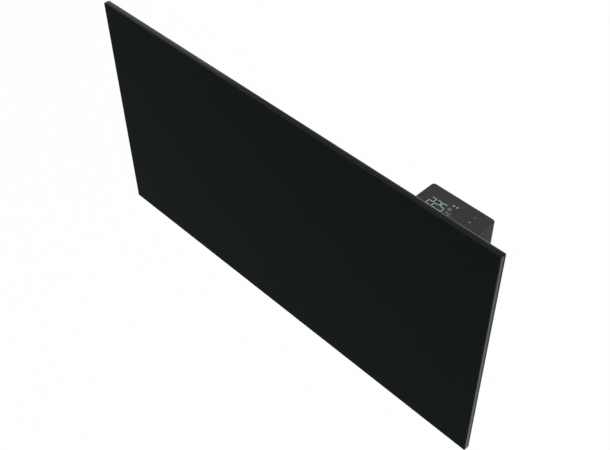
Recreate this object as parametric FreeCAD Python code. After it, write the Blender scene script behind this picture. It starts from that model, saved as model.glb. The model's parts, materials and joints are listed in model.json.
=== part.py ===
import FreeCAD, Part
import math
import os

# A wall-hung glass panel heater, in millimetres.
# +X runs to the right seen from the front, +Y runs into the wall and +Z is up.
# The origin is the centre of the four wall-screw holes, on the plane of the wall.

# Glass front
GLASS_WIDTH = 787.0
GLASS_HEIGHT = 420.0
GLASS_THICKNESS = 6.0
GLASS_CORNER_RADIUS = 2.0
GLASS_EDGE_CHAMFER = 0.5
WALL_TO_GLASS_FRONT = 85.0

# Folded steel tray that carries the glass
TRAY_SHEET = 0.8
TRAY_DEPTH = 4.0
TRAY_SETBACK = 0.2
TRAY_BEND_RADIUS = 1.1
GLASS_TO_TRAY = 0.2
BOND_WIDTH = 12.0
BOND_SETBACK = 14.0
BOND_PITCH = 175.0
BOND_JOINT_GAP = 2.0

# Heating chamber: a folded back panel between two end caps, with slats across its top and bottom
CHAMBER_SHEET = 0.8
CHAMBER_MARGIN = 60.0
CHAMBER_TO_WALL = 30.0
CHAMBER_LEFT_MARGIN = 40.0
CHAMBER_TO_CONTROL = 4.0
PANEL_RETURN = 9.0
PANEL_BEND_RADIUS = 3.0
CAP_FLANGE = 14.0
CAP_RETURN = 12.0
CAP_BEND_RADIUS = 2.0
CAP_SCREW_PITCH = 91.0
CAP_SCREW_END = 14.0
CAP_RIVET_PITCH = 70.0
CAP_RIVET_END = 20.0
SLAT_COUNT = 4
SLAT_THICKNESS = 2.0
SLAT_HEIGHT = 10.0
BEAD_RADIUS = 8.0
BEAD_HEIGHT = 2.0
BEAD_COUNT = 3
BEAD_END_MARGIN = 64.0
BEAD_TO_HANGER = 16.0

# Heating element and its carriers
SHIELD_SHEET = 0.5
SHIELD_STANDOFF = 3.0
SHIELD_MARGIN = 14.0
SHIELD_FOOT_RADIUS = 5.0
SHIELD_FOOT_INSET = 24.0
ELEMENT_RISE = 91.0
FIN_SHEET = 1.6
FIN_CLEARANCE = 6.0
FIN_HEIGHT = 76.0
FIN_BOSS_RADIUS = 8.0
FIN_END_MARGIN = 48.0
ROD_RADIUS = 4.25
ROD_END_MARGIN = 20.0
ROD_STUD_RADIUS = 2.0
ROD_STUD_LENGTH = 8.0
INSULATOR_RADIUS = 7.0
INSULATOR_LENGTH = 10.0
INSULATOR_COLLAR = 2.0
ELEMENT_BRACKET_SHEET = 1.0
ELEMENT_BRACKET_MARGIN = 30.0
ELEMENT_BRACKET_REACH = 12.0
ELEMENT_BRACKET_FOOT = 13.0
CUTOUT_RADIUS = 8.5
CUTOUT_HEIGHT = 10.0
CUTOUT_FROM_RIGHT = 100.0
CUTOUT_DROP = 80.0
CUTOUT_TAB_LENGTH = 7.5
CUTOUT_TAB_WIDTH = 6.0
CUTOUT_TAB_SHEET = 0.8
CUTOUT_BRACKET_SHEET = 1.0
CUTOUT_BRACKET_RISE = 24.0

# Leads between the control box and the element
LEAD_RADIUS = 1.5
LEAD_BEND_RADIUS = 10.0
LEAD_BEND_SHARE = 0.9
LEAD_PITCH = 8.0
LEAD_DROP = 78.0
LEAD_END_GAP = 0.2
LIVE_LEAD_DROP_OFFSET = 50.0
CUTOUT_LEAD_OFFSET = 32.0
EARTH_FROM_RIGHT = 22.0
EARTH_STUD_RADIUS = 3.0
EARTH_STUD_LENGTH = 8.0
BUSH_WALL = 3.0
BUSH_FLANGE = 2.0
BUSH_OVERHANG = 1.5

# Control box behind the upper right of the panel
CONTROL_WIDTH = 102.0
CONTROL_DEPTH = 52.6
CONTROL_HEIGHT = 130.0
CONTROL_RIGHT_MARGIN = 53.0
CONTROL_DROP = 20.0
CONTROL_WALL = 2.2
CONTROL_CORNER_RADIUS = 5.0
CONTROL_BASE_RADIUS = 3.0
LID_THICKNESS = 3.0
LID_EDGE_RADIUS = 1.0
LID_LIP_DEPTH = 4.0
LID_LIP_WALL = 1.6
HOUSING_SCREW_SIDE = 14.0
HOUSING_SCREW_END = 26.0

# Boards and what they carry
BOARD_THICKNESS = 1.6
BOARD_MARGIN = 4.0
BOARD_BOSS_RADIUS = 3.0
BOARD_BOSS_INSET = 5.0
DISPLAY_BOSS_LENGTH = 8.0
POWER_BOSS_LENGTH = 6.0
POWER_BOARD_LIFT = 6.0
POWER_TO_DISPLAY = 17.2
DIGITS_WIDTH = 42.0
DIGITS_DEPTH = 24.0
DIGITS_FROM_LEFT = 15.5
DIGITS_FROM_BACK = 15.5
PAD_RADIUS = 4.0
PAD_FROM_RIGHT = 22.0
PAD_FROM_BACK = 14.0
PAD_PITCH = 11.4
RADIO_WIDTH = 22.0
RADIO_DEPTH = 16.0
RADIO_HEIGHT = 3.0
TERMINAL_WIDTH = 14.0
TERMINAL_FROM_LEFT = 9.5
TERMINAL_OVERHANG = 6.0
TRANSFORMER_SIZE = 26.0
TRANSFORMER_HEIGHT = 22.0
RELAY_WIDTH = 20.0
RELAY_DEPTH = 16.0
RELAY_HEIGHT = 15.5
CAPACITOR_RADIUS = 5.5
CAPACITOR_HEIGHT = 20.0
CAPACITOR_PITCH = 14.0
CAPACITOR_TO_TRANSFORMER = 2.5
RIBBON_WIDTH = 20.0
RIBBON_SHEET = 0.8
RIBBON_BEND_RADIUS = 2.5
RIBBON_REACH = 7.0
RIBBON_DROP = 23.0
RIBBON_TO_SCREW = 1.0
RELAY_TO_SWITCH = 6.0

# Room sensor, cable gland and main switch
SENSOR_RADIUS = 5.0
SENSOR_LENGTH = 7.0
SENSOR_STEM_RADIUS = 3.0
SENSOR_FROM_LEFT = 24.0
SENSOR_SLOT_WIDTH = 1.2
SENSOR_SLOT_HEIGHT = 3.4
SENSOR_TIP_ROUNDING = 2.0
SENSOR_TIP_WALL = 1.0
SENSOR_HEAD_RADIUS = 4.2
GLAND_BORE_RADIUS = 4.25
GLAND_WALL = 2.75
GLAND_FLANGE = 3.0
GLAND_FLANGE_HEIGHT = 3.0
GLAND_FLANGE_ROUNDING = 1.0
GLAND_THREAD_SPARE = 2.0
GLAND_FROM_RIGHT = 40.0
NUT_FLATS_WALL = 3.0
NUT_HEIGHT = 4.0
SWITCH_DROP = 85.0
SWITCH_BEZEL_HEIGHT = 25.0
SWITCH_BEZEL_WIDTH = 15.6
SWITCH_BEZEL_THICKNESS = 1.6
SWITCH_BEZEL_ROUNDING = 0.8
SWITCH_BODY_WALL = 1.3
SWITCH_BODY_DEPTH = 15.0
SWITCH_CAVITY_DEPTH = 9.0
SWITCH_BLADE_LENGTH = 7.0
SWITCH_BLADE_WIDTH = 4.8
SWITCH_BLADE_SHEET = 0.8
SWITCH_BLADE_PITCH = 10.0
ROCKER_RADIUS = 9.0
ROCKER_WIDTH = 10.0
ROCKER_TILT = 10.0
ROCKER_PIVOT_DEPTH = 2.0
ROCKER_VALLEY = 4.4
ROCKER_INNER_DEPTH = 3.0
ROCKER_TRUNNION_RADIUS = 1.2
ROCKER_TRUNNION_LENGTH = 1.2
ROCKER_CLEARANCE = 0.35

# Hanging parts on the back panel
PIN_RADIUS = 4.0
PIN_TO_PANEL = 14.0
PIN_RISE = 30.0
PIN_SIDE_PLAY = 0.5
PIN_HEAD_RADIUS = 6.0
PIN_HEAD_HEIGHT = 1.5
EAR_SHEET = 2.0
EAR_RADIUS = 10.0
EAR_TO_CHEEK = 3.5
EAR_BASE_HEIGHT = 26.0
TILT_RANGE = 25.0
HEEL_GAP = 0.3
HEEL_UPPER = 2.0
HEEL_LOWER = 8.0
STRIKE_SHEET = 1.2
STRIKE_WIDTH = 24.0
STRIKE_DROP = 64.0
STRIKE_BASE_HEIGHT = 24.0
STRIKE_TO_PANEL = 17.0
STRIKE_LIP_HEIGHT = 9.0
STRIKE_BEND_RADIUS = 2.0
HANGER_RIVET_PITCH = 14.0

# Wall bracket
RAIL_INSET = 60.5
RAIL_WIDTH = 40.0
RAIL_SHEET = 1.5
RAIL_FLANGE = 8.0
RAIL_BELOW_PIN = 20.0
RAIL_ABOVE_CATCH = 6.0
HOOK_WALL = 6.3
HOOK_RISE = 12.0
WALL_SCREW_DROP = 11.0
WALL_SCREW_HOLE_RADIUS = 3.25
TIE_HEIGHT = 30.0
TIE_FLANGE = 6.0
CATCH_SHEET = 0.8
CATCH_WIDTH = 16.0
CATCH_BEND_RADIUS = 1.6
CATCH_RISE = 28.0
CATCH_FOOT = 20.0
CATCH_TO_LIP = 0.4
CATCH_TO_SHELF = 1.0
CATCH_RAMP_REACH = 6.0
CATCH_RAMP_RISE = 7.0
CATCH_RIVET_PITCH = 8.0
CATCH_RIVET_RISE = 6.0
BUFFER_RADIUS = 9.0
BUFFER_STEM_RADIUS = 3.0
BUFFER_ROUNDING = 2.25
BUFFER_TO_STRIKE = 8.0
BUFFER_GAP = 0.3

# Fasteners and fits
HEAD_ROUNDING_SHARE = 0.45
RECESS_BLADE_SHARE = 0.16
RECESS_REACH_SHARE = 0.6
RECESS_FLOOR_SHARE = 0.4
SCREW_RADIUS = 2.0
SCREW_HEAD_RADIUS = 3.6
SCREW_HEAD_HEIGHT = 2.2
BOARD_SCREW_RADIUS = 1.2
BOARD_SCREW_HEAD_RADIUS = 2.3
BOARD_SCREW_HEAD_HEIGHT = 1.6
BOARD_SCREW_LENGTH = 5.5
RIVET_RADIUS = 1.6
RIVET_HEAD_RADIUS = 3.0
RIVET_HEAD_HEIGHT = 1.0
FIT_CLEARANCE = 0.1
PIN_CLEARANCE = 0.05
HOOK_CLEARANCE = 0.2
LID_CLEARANCE = 0.15
CUT_OVERRUN = 1.0
TINY = 0.001

# Planes along Y
Y_GLASS_FRONT = -WALL_TO_GLASS_FRONT
Y_GLASS_BACK = Y_GLASS_FRONT + GLASS_THICKNESS
Y_TRAY_FRONT = Y_GLASS_BACK + GLASS_TO_TRAY
Y_TRAY_BACK = Y_TRAY_FRONT + TRAY_DEPTH
Y_TRAY_INNER = Y_TRAY_BACK - TRAY_SHEET
Y_SHIELD_FRONT = Y_TRAY_BACK + SHIELD_STANDOFF
Y_SHIELD_BACK = Y_SHIELD_FRONT + SHIELD_SHEET
Y_CHAMBER_BACK = -CHAMBER_TO_WALL
Y_CHAMBER_INNER = Y_CHAMBER_BACK - CHAMBER_SHEET
Y_ELEMENT = (Y_SHIELD_BACK + Y_CHAMBER_INNER) / 2
Y_PIN = Y_CHAMBER_BACK + PIN_TO_PANEL
Y_CONTROL_FRONT = Y_TRAY_BACK
Y_CONTROL_BACK = Y_CONTROL_FRONT + CONTROL_DEPTH
Y_CONTROL_MIDDLE = (Y_CONTROL_FRONT + Y_CONTROL_BACK) / 2
Y_POWER_BACK = Y_CONTROL_BACK - CONTROL_WALL - POWER_BOSS_LENGTH
Y_POWER_FRONT = Y_POWER_BACK - BOARD_THICKNESS

# Planes along X
X_GLASS = GLASS_WIDTH / 2
X_CONTROL_RIGHT = X_GLASS - CONTROL_RIGHT_MARGIN
X_CONTROL_LEFT = X_CONTROL_RIGHT - CONTROL_WIDTH
X_CHAMBER_LEFT = CHAMBER_LEFT_MARGIN - X_GLASS
X_CHAMBER_RIGHT = X_CONTROL_LEFT - CHAMBER_TO_CONTROL - CAP_FLANGE
X_CUTOUT = X_CHAMBER_RIGHT - CUTOUT_FROM_RIGHT
X_TERMINAL = X_CONTROL_LEFT + TERMINAL_FROM_LEFT
X_BOARD_LEFT = X_CONTROL_LEFT + CONTROL_WALL + BOARD_MARGIN
X_BOARD_RIGHT = X_CONTROL_RIGHT - CONTROL_WALL - BOARD_MARGIN
X_PAD = X_CONTROL_RIGHT - PAD_FROM_RIGHT
X_GLAND = X_CONTROL_RIGHT - GLAND_FROM_RIGHT
X_SENSOR = X_CONTROL_LEFT + SENSOR_FROM_LEFT
X_ROCKER = X_CONTROL_RIGHT - ROCKER_PIVOT_DEPTH
COMPONENT_GAP = (X_BOARD_RIGHT - X_TERMINAL - TERMINAL_WIDTH - TRANSFORMER_SIZE - RELAY_WIDTH) / 4
X_TRANSFORMER = X_TERMINAL + TERMINAL_WIDTH + COMPONENT_GAP
X_RELAY = X_TRANSFORMER + TRANSFORMER_SIZE + COMPONENT_GAP
X_RAIL = X_CHAMBER_RIGHT - RAIL_INSET
X_RAILS = (-X_RAIL, X_RAIL)

# Planes along Z
Z_GLASS = GLASS_HEIGHT / 2
Z_CHAMBER = Z_GLASS - CHAMBER_MARGIN
Z_ELEMENT = ELEMENT_RISE - Z_CHAMBER
Z_PIN = PIN_RISE - Z_CHAMBER
Z_SHELF = Z_CHAMBER - STRIKE_DROP
Z_CATCH = Z_SHELF + CATCH_RISE
Z_WALL_SCREWS = (Z_SHELF - WALL_SCREW_DROP, WALL_SCREW_DROP - Z_SHELF)
Z_BUFFER = Z_SHELF - STRIKE_BASE_HEIGHT - BUFFER_TO_STRIKE - BUFFER_RADIUS
Z_RAIL_BOTTOM = Z_PIN - RAIL_BELOW_PIN
Z_RAIL_TOP = Z_CATCH + RAIL_ABOVE_CATCH
Z_CONTROL_TOP = Z_GLASS - CONTROL_DROP
Z_LID_BOTTOM = Z_CONTROL_TOP - LID_THICKNESS
Z_CONTROL_BOTTOM = Z_CONTROL_TOP - CONTROL_HEIGHT
Z_CONTROL_FLOOR = Z_CONTROL_BOTTOM + CONTROL_WALL
Z_DISPLAY_TOP = Z_LID_BOTTOM - DISPLAY_BOSS_LENGTH
Z_DISPLAY_BOTTOM = Z_DISPLAY_TOP - BOARD_THICKNESS
Z_POWER_BOTTOM = Z_CONTROL_FLOOR + POWER_BOARD_LIFT
Z_POWER_TOP = Z_DISPLAY_BOTTOM - POWER_TO_DISPLAY
Z_LEADS = Z_CONTROL_TOP - LEAD_DROP
Z_CUTOUT_TOP = Z_CHAMBER - CUTOUT_DROP
Z_CUTOUT_TABS = Z_CUTOUT_TOP - CUTOUT_HEIGHT / 2
Z_SWITCH = Z_CONTROL_TOP - SWITCH_DROP

X_AXIS = FreeCAD.Vector(1, 0, 0)
Y_AXIS = FreeCAD.Vector(0, 1, 0)
Z_AXIS = FreeCAD.Vector(0, 0, 1)


# Shapes used by several pieces

def vec(x, y, z):
    return FreeCAD.Vector(x, y, z)


def box(x0, x1, y0, y1, z0, z1):
    """A block between two corners."""
    return Part.makeBox(x1 - x0, y1 - y0, z1 - z0, vec(x0, y0, z0))


def rod(radius, start, axis, length):
    """A round bar from a start point along an axis."""
    return Part.makeCylinder(radius, length, start, axis)


def joined(shapes):
    """One solid from several that touch."""
    return shapes[0].fuse(shapes[1:]).removeSplitter()


def cut_by(shape, tools):
    """The shape without every one of the tools."""
    return shape.cut(Part.makeCompound(tools))


def spread(low, high, pitch):
    """Places at about the pitch, evenly spaced, with the first on low and the last on high."""
    steps = max(1, round((high - low) / pitch))
    return [low + (high - low) * step / steps for step in range(steps + 1)]


def filleted(shape, radius, chosen):
    """The shape with its chosen edges rounded, where chosen looks at an edge's centre."""
    return shape.makeFillet(radius, [edge for edge in shape.Edges if chosen(edge.CenterOfMass)])


def pan(x0, x1, y0, y1, z0, z1, sheet, bend):
    """A folded sheet pan that is open towards -Y, with rounded folds and corners."""
    outer = filleted(box(x0, x1, y0, y1, z0, z1), bend, lambda c: c.y > y0 + TINY)
    y_open = y0 - sheet
    hollow = box(x0 + sheet, x1 - sheet, y_open, y1 - sheet, z0 + sheet, z1 - sheet)
    hollow = filleted(hollow, bend - sheet, lambda c: c.y > y_open + TINY)
    return outer.cut(hollow)


def stadium(centre, along, normal, length, width, depth):
    """A round-ended prism that starts on the centre point and runs along the normal."""
    radius = width / 2
    side = normal.cross(along) * radius
    half = along * (length / 2 - radius)
    tip = along * (length / 2)
    edges = [
        Part.makeLine(centre + half + side, centre - half + side),
        Part.Arc(centre - half + side, centre - tip, centre - half - side).toShape(),
        Part.makeLine(centre - half - side, centre + half - side),
        Part.Arc(centre + half - side, centre + tip, centre + half + side).toShape(),
    ]
    return Part.Face(Part.Wire(edges)).extrude(normal * depth)


def rounded_edges(points, radii):
    """Straight edges through the points, with a tangent arc of the given radius at each inner point."""
    edges = []
    start = points[0]
    for before, corner, after, radius in zip(points, points[1:], points[2:], radii):
        into = (corner - before).normalize()
        out = (after - corner).normalize()
        half_turn = into.getAngle(out) / 2
        tangent = radius * math.tan(half_turn)
        middle = corner + (out - into).normalize() * (radius / math.cos(half_turn))
        arc_start = corner - into * tangent
        arc_end = corner + out * tangent
        arc_middle = middle + (corner - middle).normalize() * radius
        edges.append(Part.makeLine(start, arc_start))
        edges.append(Part.Arc(arc_start, arc_middle, arc_end).toShape())
        start = arc_end
    edges.append(Part.makeLine(start, points[-1]))
    return edges


def lead(points, radius, bend):
    """A round wire along straight runs that are joined by tangent arcs, tighter ones where a run is short."""
    runs = [(after - before).Length for before, after in zip(points, points[1:])]
    room = min([runs[0], runs[-1]] + [run / 2 for run in runs[1:-1]])
    bends = [min(bend, LEAD_BEND_SHARE * room) for corner in points[1:-1]]
    path = Part.Wire(rounded_edges(points, bends))
    section = Part.Wire(Part.makeCircle(radius, points[0], points[1] - points[0]))
    return path.makePipeShell([section], True, False)


def side_points(points, out, offset):
    """The points of a bent line in a plane with normal out, moved sideways with mitred corners."""
    ways = [(b - a).normalize() for a, b in zip(points, points[1:])]
    normals = [out.cross(way) for way in ways]
    moved = [points[0] + normals[0] * offset]
    for corner, first, second in zip(points[1:-1], normals, normals[1:]):
        moved.append(corner + (first + second) * (offset / (1 + first.dot(second))))
    moved.append(points[-1] + normals[-1] * offset)
    return moved


def folded(points, sheet, bend, out, width):
    """A sheet folded along a centre line, bent at that line's radius and as wide as stated along out."""
    turns = []
    for before, corner, after in zip(points, points[1:], points[2:]):
        turns.append(math.copysign(1, (corner - before).cross(after - corner).dot(out)))
    left = rounded_edges(side_points(points, out, sheet / 2), [bend - turn * sheet / 2 for turn in turns])
    right = rounded_edges(side_points(points, out, -sheet / 2), [bend + turn * sheet / 2 for turn in turns])
    caps = [
        Part.makeLine(left[0].Vertexes[0].Point, right[0].Vertexes[0].Point),
        Part.makeLine(left[-1].Vertexes[1].Point, right[-1].Vertexes[1].Point),
    ]
    outline = Part.Wire(Part.__sortEdges__(left + right + caps))
    return Part.Face(outline).extrude(out * width)


def bent_sheet(path, sheet, bend, x_middle, width):
    """A sheet folded along a centre line of (y, z) places and centred on x_middle."""
    x0 = x_middle - width / 2
    return folded([vec(x0, y, z) for y, z in path], sheet, bend, X_AXIS, width)


def fastener(seat, way, radius, length, head_radius, head_height, recess):
    """A fastener with its round head on the seat and its shank along the way, with a cross recess or none."""
    head = Part.makeCylinder(head_radius, head_height, vec(0, 0, -head_height))
    head = filleted(head, head_height * HEAD_ROUNDING_SHARE, lambda c: c.z < -head_height + TINY)
    if recess:
        blade = head_radius * RECESS_BLADE_SHARE
        reach = head_radius * RECESS_REACH_SHARE
        deep = -head_height * RECESS_FLOOR_SHARE
        top = -head_height - CUT_OVERRUN
        cross = [
            box(-blade, blade, -reach, reach, top, deep),
            box(-reach, reach, -blade, blade, top, deep),
        ]
        head = head.cut(joined(cross))
    solid = head.fuse(Part.makeCylinder(radius, length))
    solid.Placement = FreeCAD.Placement(seat, FreeCAD.Rotation(Z_AXIS, way))
    return solid


def double_rivet(x, y_head, y_end, z):
    """A rivet along Y with a round head at each end of its grip."""
    front = fastener(vec(x, y_head, z), -Y_AXIS, RIVET_RADIUS, y_head - y_end,
                     RIVET_HEAD_RADIUS, RIVET_HEAD_HEIGHT, False)
    back = fastener(vec(x, y_end, z), Y_AXIS, RIVET_RADIUS, RIVET_HEAD_HEIGHT,
                    RIVET_HEAD_RADIUS, RIVET_HEAD_HEIGHT, False)
    return joined([front, back])


def hole_y(x, z, radius, y0, y1):
    """A round cutter along Y that passes both planes."""
    return rod(radius, vec(x, y0 - CUT_OVERRUN, z), Y_AXIS, y1 - y0 + 2 * CUT_OVERRUN)


# Places that several pieces share

def cap_screw_places():
    """Where the end caps' flanges are screwed to the tray, as (x, z)."""
    edge = CAP_FLANGE / 2
    heights = spread(CAP_SCREW_END - Z_CHAMBER, Z_CHAMBER - CAP_SCREW_END, CAP_SCREW_PITCH)
    return [(x, z) for x in (X_CHAMBER_LEFT - edge, X_CHAMBER_RIGHT + edge) for z in heights]


def cap_rivet_places():
    """Where the back panel is riveted to the end caps' returns, as (x, z)."""
    edge = CAP_RETURN / 2 + CHAMBER_SHEET
    heights = spread(CAP_RIVET_END - Z_CHAMBER, Z_CHAMBER - CAP_RIVET_END, CAP_RIVET_PITCH)
    return [(x, z) for x in (X_CHAMBER_LEFT + edge, X_CHAMBER_RIGHT - edge) for z in heights]


def housing_screw_places():
    """Where the control housing is screwed to the tray, as (x, z)."""
    return [
        (x, z)
        for x in (X_CONTROL_LEFT + HOUSING_SCREW_SIDE, X_CONTROL_RIGHT - HOUSING_SCREW_SIDE)
        for z in (Z_CONTROL_BOTTOM + HOUSING_SCREW_END, Z_CONTROL_TOP - HOUSING_SCREW_END)
    ]


def display_boss_places():
    """Corners where the display board hangs from the lid, as (x, y)."""
    y_front = Y_CONTROL_FRONT + CONTROL_WALL + BOARD_MARGIN
    y_back = Y_CONTROL_BACK - CONTROL_WALL - BOARD_MARGIN
    return [
        (x, y)
        for x in (X_BOARD_LEFT + BOARD_BOSS_INSET, X_BOARD_RIGHT - BOARD_BOSS_INSET)
        for y in (y_front + BOARD_BOSS_INSET, y_back - BOARD_BOSS_INSET)
    ]


def power_boss_places():
    """Corners where the power board stands on the housing's back wall, as (x, z)."""
    return [
        (x, z)
        for x in (X_BOARD_LEFT + BOARD_BOSS_INSET, X_BOARD_RIGHT - BOARD_BOSS_INSET)
        for z in (Z_POWER_BOTTOM + BOARD_BOSS_INSET, Z_POWER_TOP - BOARD_BOSS_INSET)
    ]


def pad_places():
    """Where the two touch pads press against the lid, as (x, y)."""
    y_back = Y_CONTROL_BACK - PAD_FROM_BACK
    return [(X_PAD, y_back), (X_PAD, y_back - PAD_PITCH)]


def lead_heights():
    """Heights of the neutral, live and earth leads where they pass into the chamber."""
    return [Z_LEADS + LEAD_PITCH, Z_LEADS, Z_LEADS - LEAD_PITCH]


def pivot_rivet_places(x_rail):
    """Rivets of one pivot bracket, as (x, z)."""
    return [(x_rail - HANGER_RIVET_PITCH / 2, Z_PIN), (x_rail + HANGER_RIVET_PITCH / 2, Z_PIN)]


def strike_rivet_places(x_rail):
    """Rivets of one strike, as (x, z)."""
    z = Z_SHELF - STRIKE_BASE_HEIGHT / 2
    return [(x_rail - HANGER_RIVET_PITCH / 2, z), (x_rail + HANGER_RIVET_PITCH / 2, z)]


def catch_rivet_places(x_rail):
    """Rivets of one catch spring, as (x, z)."""
    z = Z_CATCH - CATCH_FOOT + CATCH_RIVET_RISE
    return [(x_rail - CATCH_RIVET_PITCH / 2, z), (x_rail + CATCH_RIVET_PITCH / 2, z)]


# Front panel

def glass_panel():
    plate = box(-X_GLASS, X_GLASS, Y_GLASS_FRONT, Y_GLASS_BACK, -Z_GLASS, Z_GLASS)
    corners = lambda c: Y_GLASS_FRONT + TINY < c.y < Y_GLASS_BACK - TINY
    plate = filleted(plate, GLASS_CORNER_RADIUS, corners)
    rims = [e for e in plate.Edges
            if abs(e.CenterOfMass.y - Y_GLASS_FRONT) < TINY or abs(e.CenterOfMass.y - Y_GLASS_BACK) < TINY]
    return plate.makeChamfer(GLASS_EDGE_CHAMFER, rims)


def bonding_strips():
    x_end = X_GLASS - BOND_SETBACK
    z_end = Z_GLASS - BOND_SETBACK
    z_upright = z_end - BOND_WIDTH - BOND_JOINT_GAP
    strips = [
        box(-x_end, x_end, Y_GLASS_BACK, Y_TRAY_INNER, z_end - BOND_WIDTH, z_end),
        box(-x_end, x_end, Y_GLASS_BACK, Y_TRAY_INNER, -z_end, BOND_WIDTH - z_end),
    ]
    for x in spread(BOND_WIDTH / 2 - x_end, x_end - BOND_WIDTH / 2, BOND_PITCH):
        strips.append(box(x - BOND_WIDTH / 2, x + BOND_WIDTH / 2, Y_GLASS_BACK, Y_TRAY_INNER,
                          -z_upright, z_upright))
    return Part.makeCompound(strips)


def front_tray():
    x_end = X_GLASS - TRAY_SETBACK
    z_end = Z_GLASS - TRAY_SETBACK
    tray = pan(-x_end, x_end, Y_TRAY_FRONT, Y_TRAY_BACK, -z_end, z_end, TRAY_SHEET, TRAY_BEND_RADIUS)
    return cut_by(tray, [hole_y(x, z, SCREW_RADIUS + FIT_CLEARANCE, Y_TRAY_INNER, Y_TRAY_BACK)
                         for x, z in cap_screw_places() + housing_screw_places()])


# Heating chamber

def panel_bead(z, radius):
    """A round-ended bar whose crown stands out of the back panel as a stiffening bead."""
    y = Y_CHAMBER_BACK + BEAD_HEIGHT - BEAD_RADIUS
    x0 = X_CHAMBER_LEFT + BEAD_END_MARGIN
    x1 = X_CHAMBER_RIGHT - BEAD_END_MARGIN
    bar = rod(radius, vec(x0, y, z), X_AXIS, x1 - x0)
    ends = [Part.makeSphere(radius, vec(x, y, z)) for x in (x0, x1)]
    return joined([bar] + ends)


def back_panel():
    y_middle = Y_CHAMBER_BACK - CHAMBER_SHEET / 2
    z_middle = Z_CHAMBER - CHAMBER_SHEET / 2
    path = [
        (y_middle - PANEL_RETURN, -z_middle),
        (y_middle, -z_middle),
        (y_middle, z_middle),
        (y_middle - PANEL_RETURN, z_middle),
    ]
    width = X_CHAMBER_RIGHT - X_CHAMBER_LEFT
    panel = bent_sheet(path, CHAMBER_SHEET, PANEL_BEND_RADIUS, X_CHAMBER_LEFT + width / 2, width)
    low = Z_PIN + EAR_BASE_HEIGHT / 2 + BEAD_TO_HANGER
    high = Z_BUFFER - BUFFER_RADIUS - BEAD_TO_HANGER
    heights = [low + (high - low) * step / (BEAD_COUNT - 1) for step in range(BEAD_COUNT)]
    outside = box(X_CHAMBER_LEFT, X_CHAMBER_RIGHT, Y_CHAMBER_INNER, 0, -Z_CHAMBER, Z_CHAMBER)
    panel = joined([panel] + [panel_bead(z, BEAD_RADIUS).common(outside) for z in heights])
    panel = cut_by(panel, [panel_bead(z, BEAD_RADIUS - CHAMBER_SHEET) for z in heights])
    places = cap_rivet_places()
    for x_rail in X_RAILS:
        places += pivot_rivet_places(x_rail) + strike_rivet_places(x_rail)
    return cut_by(panel, [hole_y(x, z, RIVET_RADIUS + FIT_CLEARANCE, Y_CHAMBER_INNER, Y_CHAMBER_BACK)
                          for x, z in places])


def end_cap(x_wall, inward):
    """A Z-folded end of the chamber, with a flange on the tray and a return behind the back panel's edge."""
    x_middle = x_wall + inward * CHAMBER_SHEET / 2
    y_flange = Y_TRAY_BACK + CHAMBER_SHEET / 2
    y_return = Y_CHAMBER_INNER - CHAMBER_SHEET / 2
    z_low = PANEL_BEND_RADIUS + CHAMBER_SHEET - Z_CHAMBER
    points = [
        vec(x_wall - inward * CAP_FLANGE, y_flange, z_low),
        vec(x_middle, y_flange, z_low),
        vec(x_middle, y_return, z_low),
        vec(x_wall + inward * (CHAMBER_SHEET + CAP_RETURN), y_return, z_low),
    ]
    return folded(points, CHAMBER_SHEET, CAP_BEND_RADIUS, Z_AXIS, -2 * z_low)


def cap_tools():
    """Holes for the cap screws, the panel rivets and the lead bush."""
    y_flange = Y_TRAY_BACK + CHAMBER_SHEET
    tools = [hole_y(x, z, SCREW_RADIUS + FIT_CLEARANCE, Y_TRAY_BACK, y_flange) for x, z in cap_screw_places()]
    y_return = Y_CHAMBER_INNER - CHAMBER_SHEET
    for x, z in cap_rivet_places():
        tools.append(hole_y(x, z, RIVET_RADIUS + FIT_CLEARANCE, y_return, Y_CHAMBER_INNER))
    tools.append(bush_neck(X_CHAMBER_RIGHT - 2 * CHAMBER_SHEET, 3 * CHAMBER_SHEET, FIT_CLEARANCE))
    return tools


def left_end_cap():
    return cut_by(end_cap(X_CHAMBER_LEFT, 1), cap_tools())


def right_end_cap():
    return cut_by(end_cap(X_CHAMBER_RIGHT, -1), cap_tools())


def slats(z0):
    """Thin bars from end cap to end cap that guard the chamber's mouth, from height z0 up."""
    y_end = Y_CHAMBER_BACK - CHAMBER_SHEET / 2 - PANEL_RETURN
    gap = (y_end - Y_TRAY_BACK - SLAT_COUNT * SLAT_THICKNESS) / (SLAT_COUNT + 1)
    bars = []
    for step in range(SLAT_COUNT):
        y0 = Y_TRAY_BACK + gap + step * (gap + SLAT_THICKNESS)
        bars.append(box(X_CHAMBER_LEFT + CHAMBER_SHEET, X_CHAMBER_RIGHT - CHAMBER_SHEET,
                        y0, y0 + SLAT_THICKNESS, z0, z0 + SLAT_HEIGHT))
    return Part.makeCompound(bars)


def outlet_slats():
    return slats(Z_CHAMBER - PANEL_BEND_RADIUS - CHAMBER_SHEET - SLAT_HEIGHT)


def inlet_slats():
    return slats(PANEL_BEND_RADIUS + CHAMBER_SHEET - Z_CHAMBER)


def cap_screws():
    length = CHAMBER_SHEET + TRAY_SHEET
    return Part.makeCompound([
        fastener(vec(x, Y_TRAY_BACK + CHAMBER_SHEET, z), -Y_AXIS, SCREW_RADIUS, length,
                 SCREW_HEAD_RADIUS, SCREW_HEAD_HEIGHT, True)
        for x, z in cap_screw_places()
    ])


def cap_rivets():
    return Part.makeCompound([
        double_rivet(x, Y_CHAMBER_BACK, Y_CHAMBER_INNER - CHAMBER_SHEET, z) for x, z in cap_rivet_places()
    ])


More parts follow.
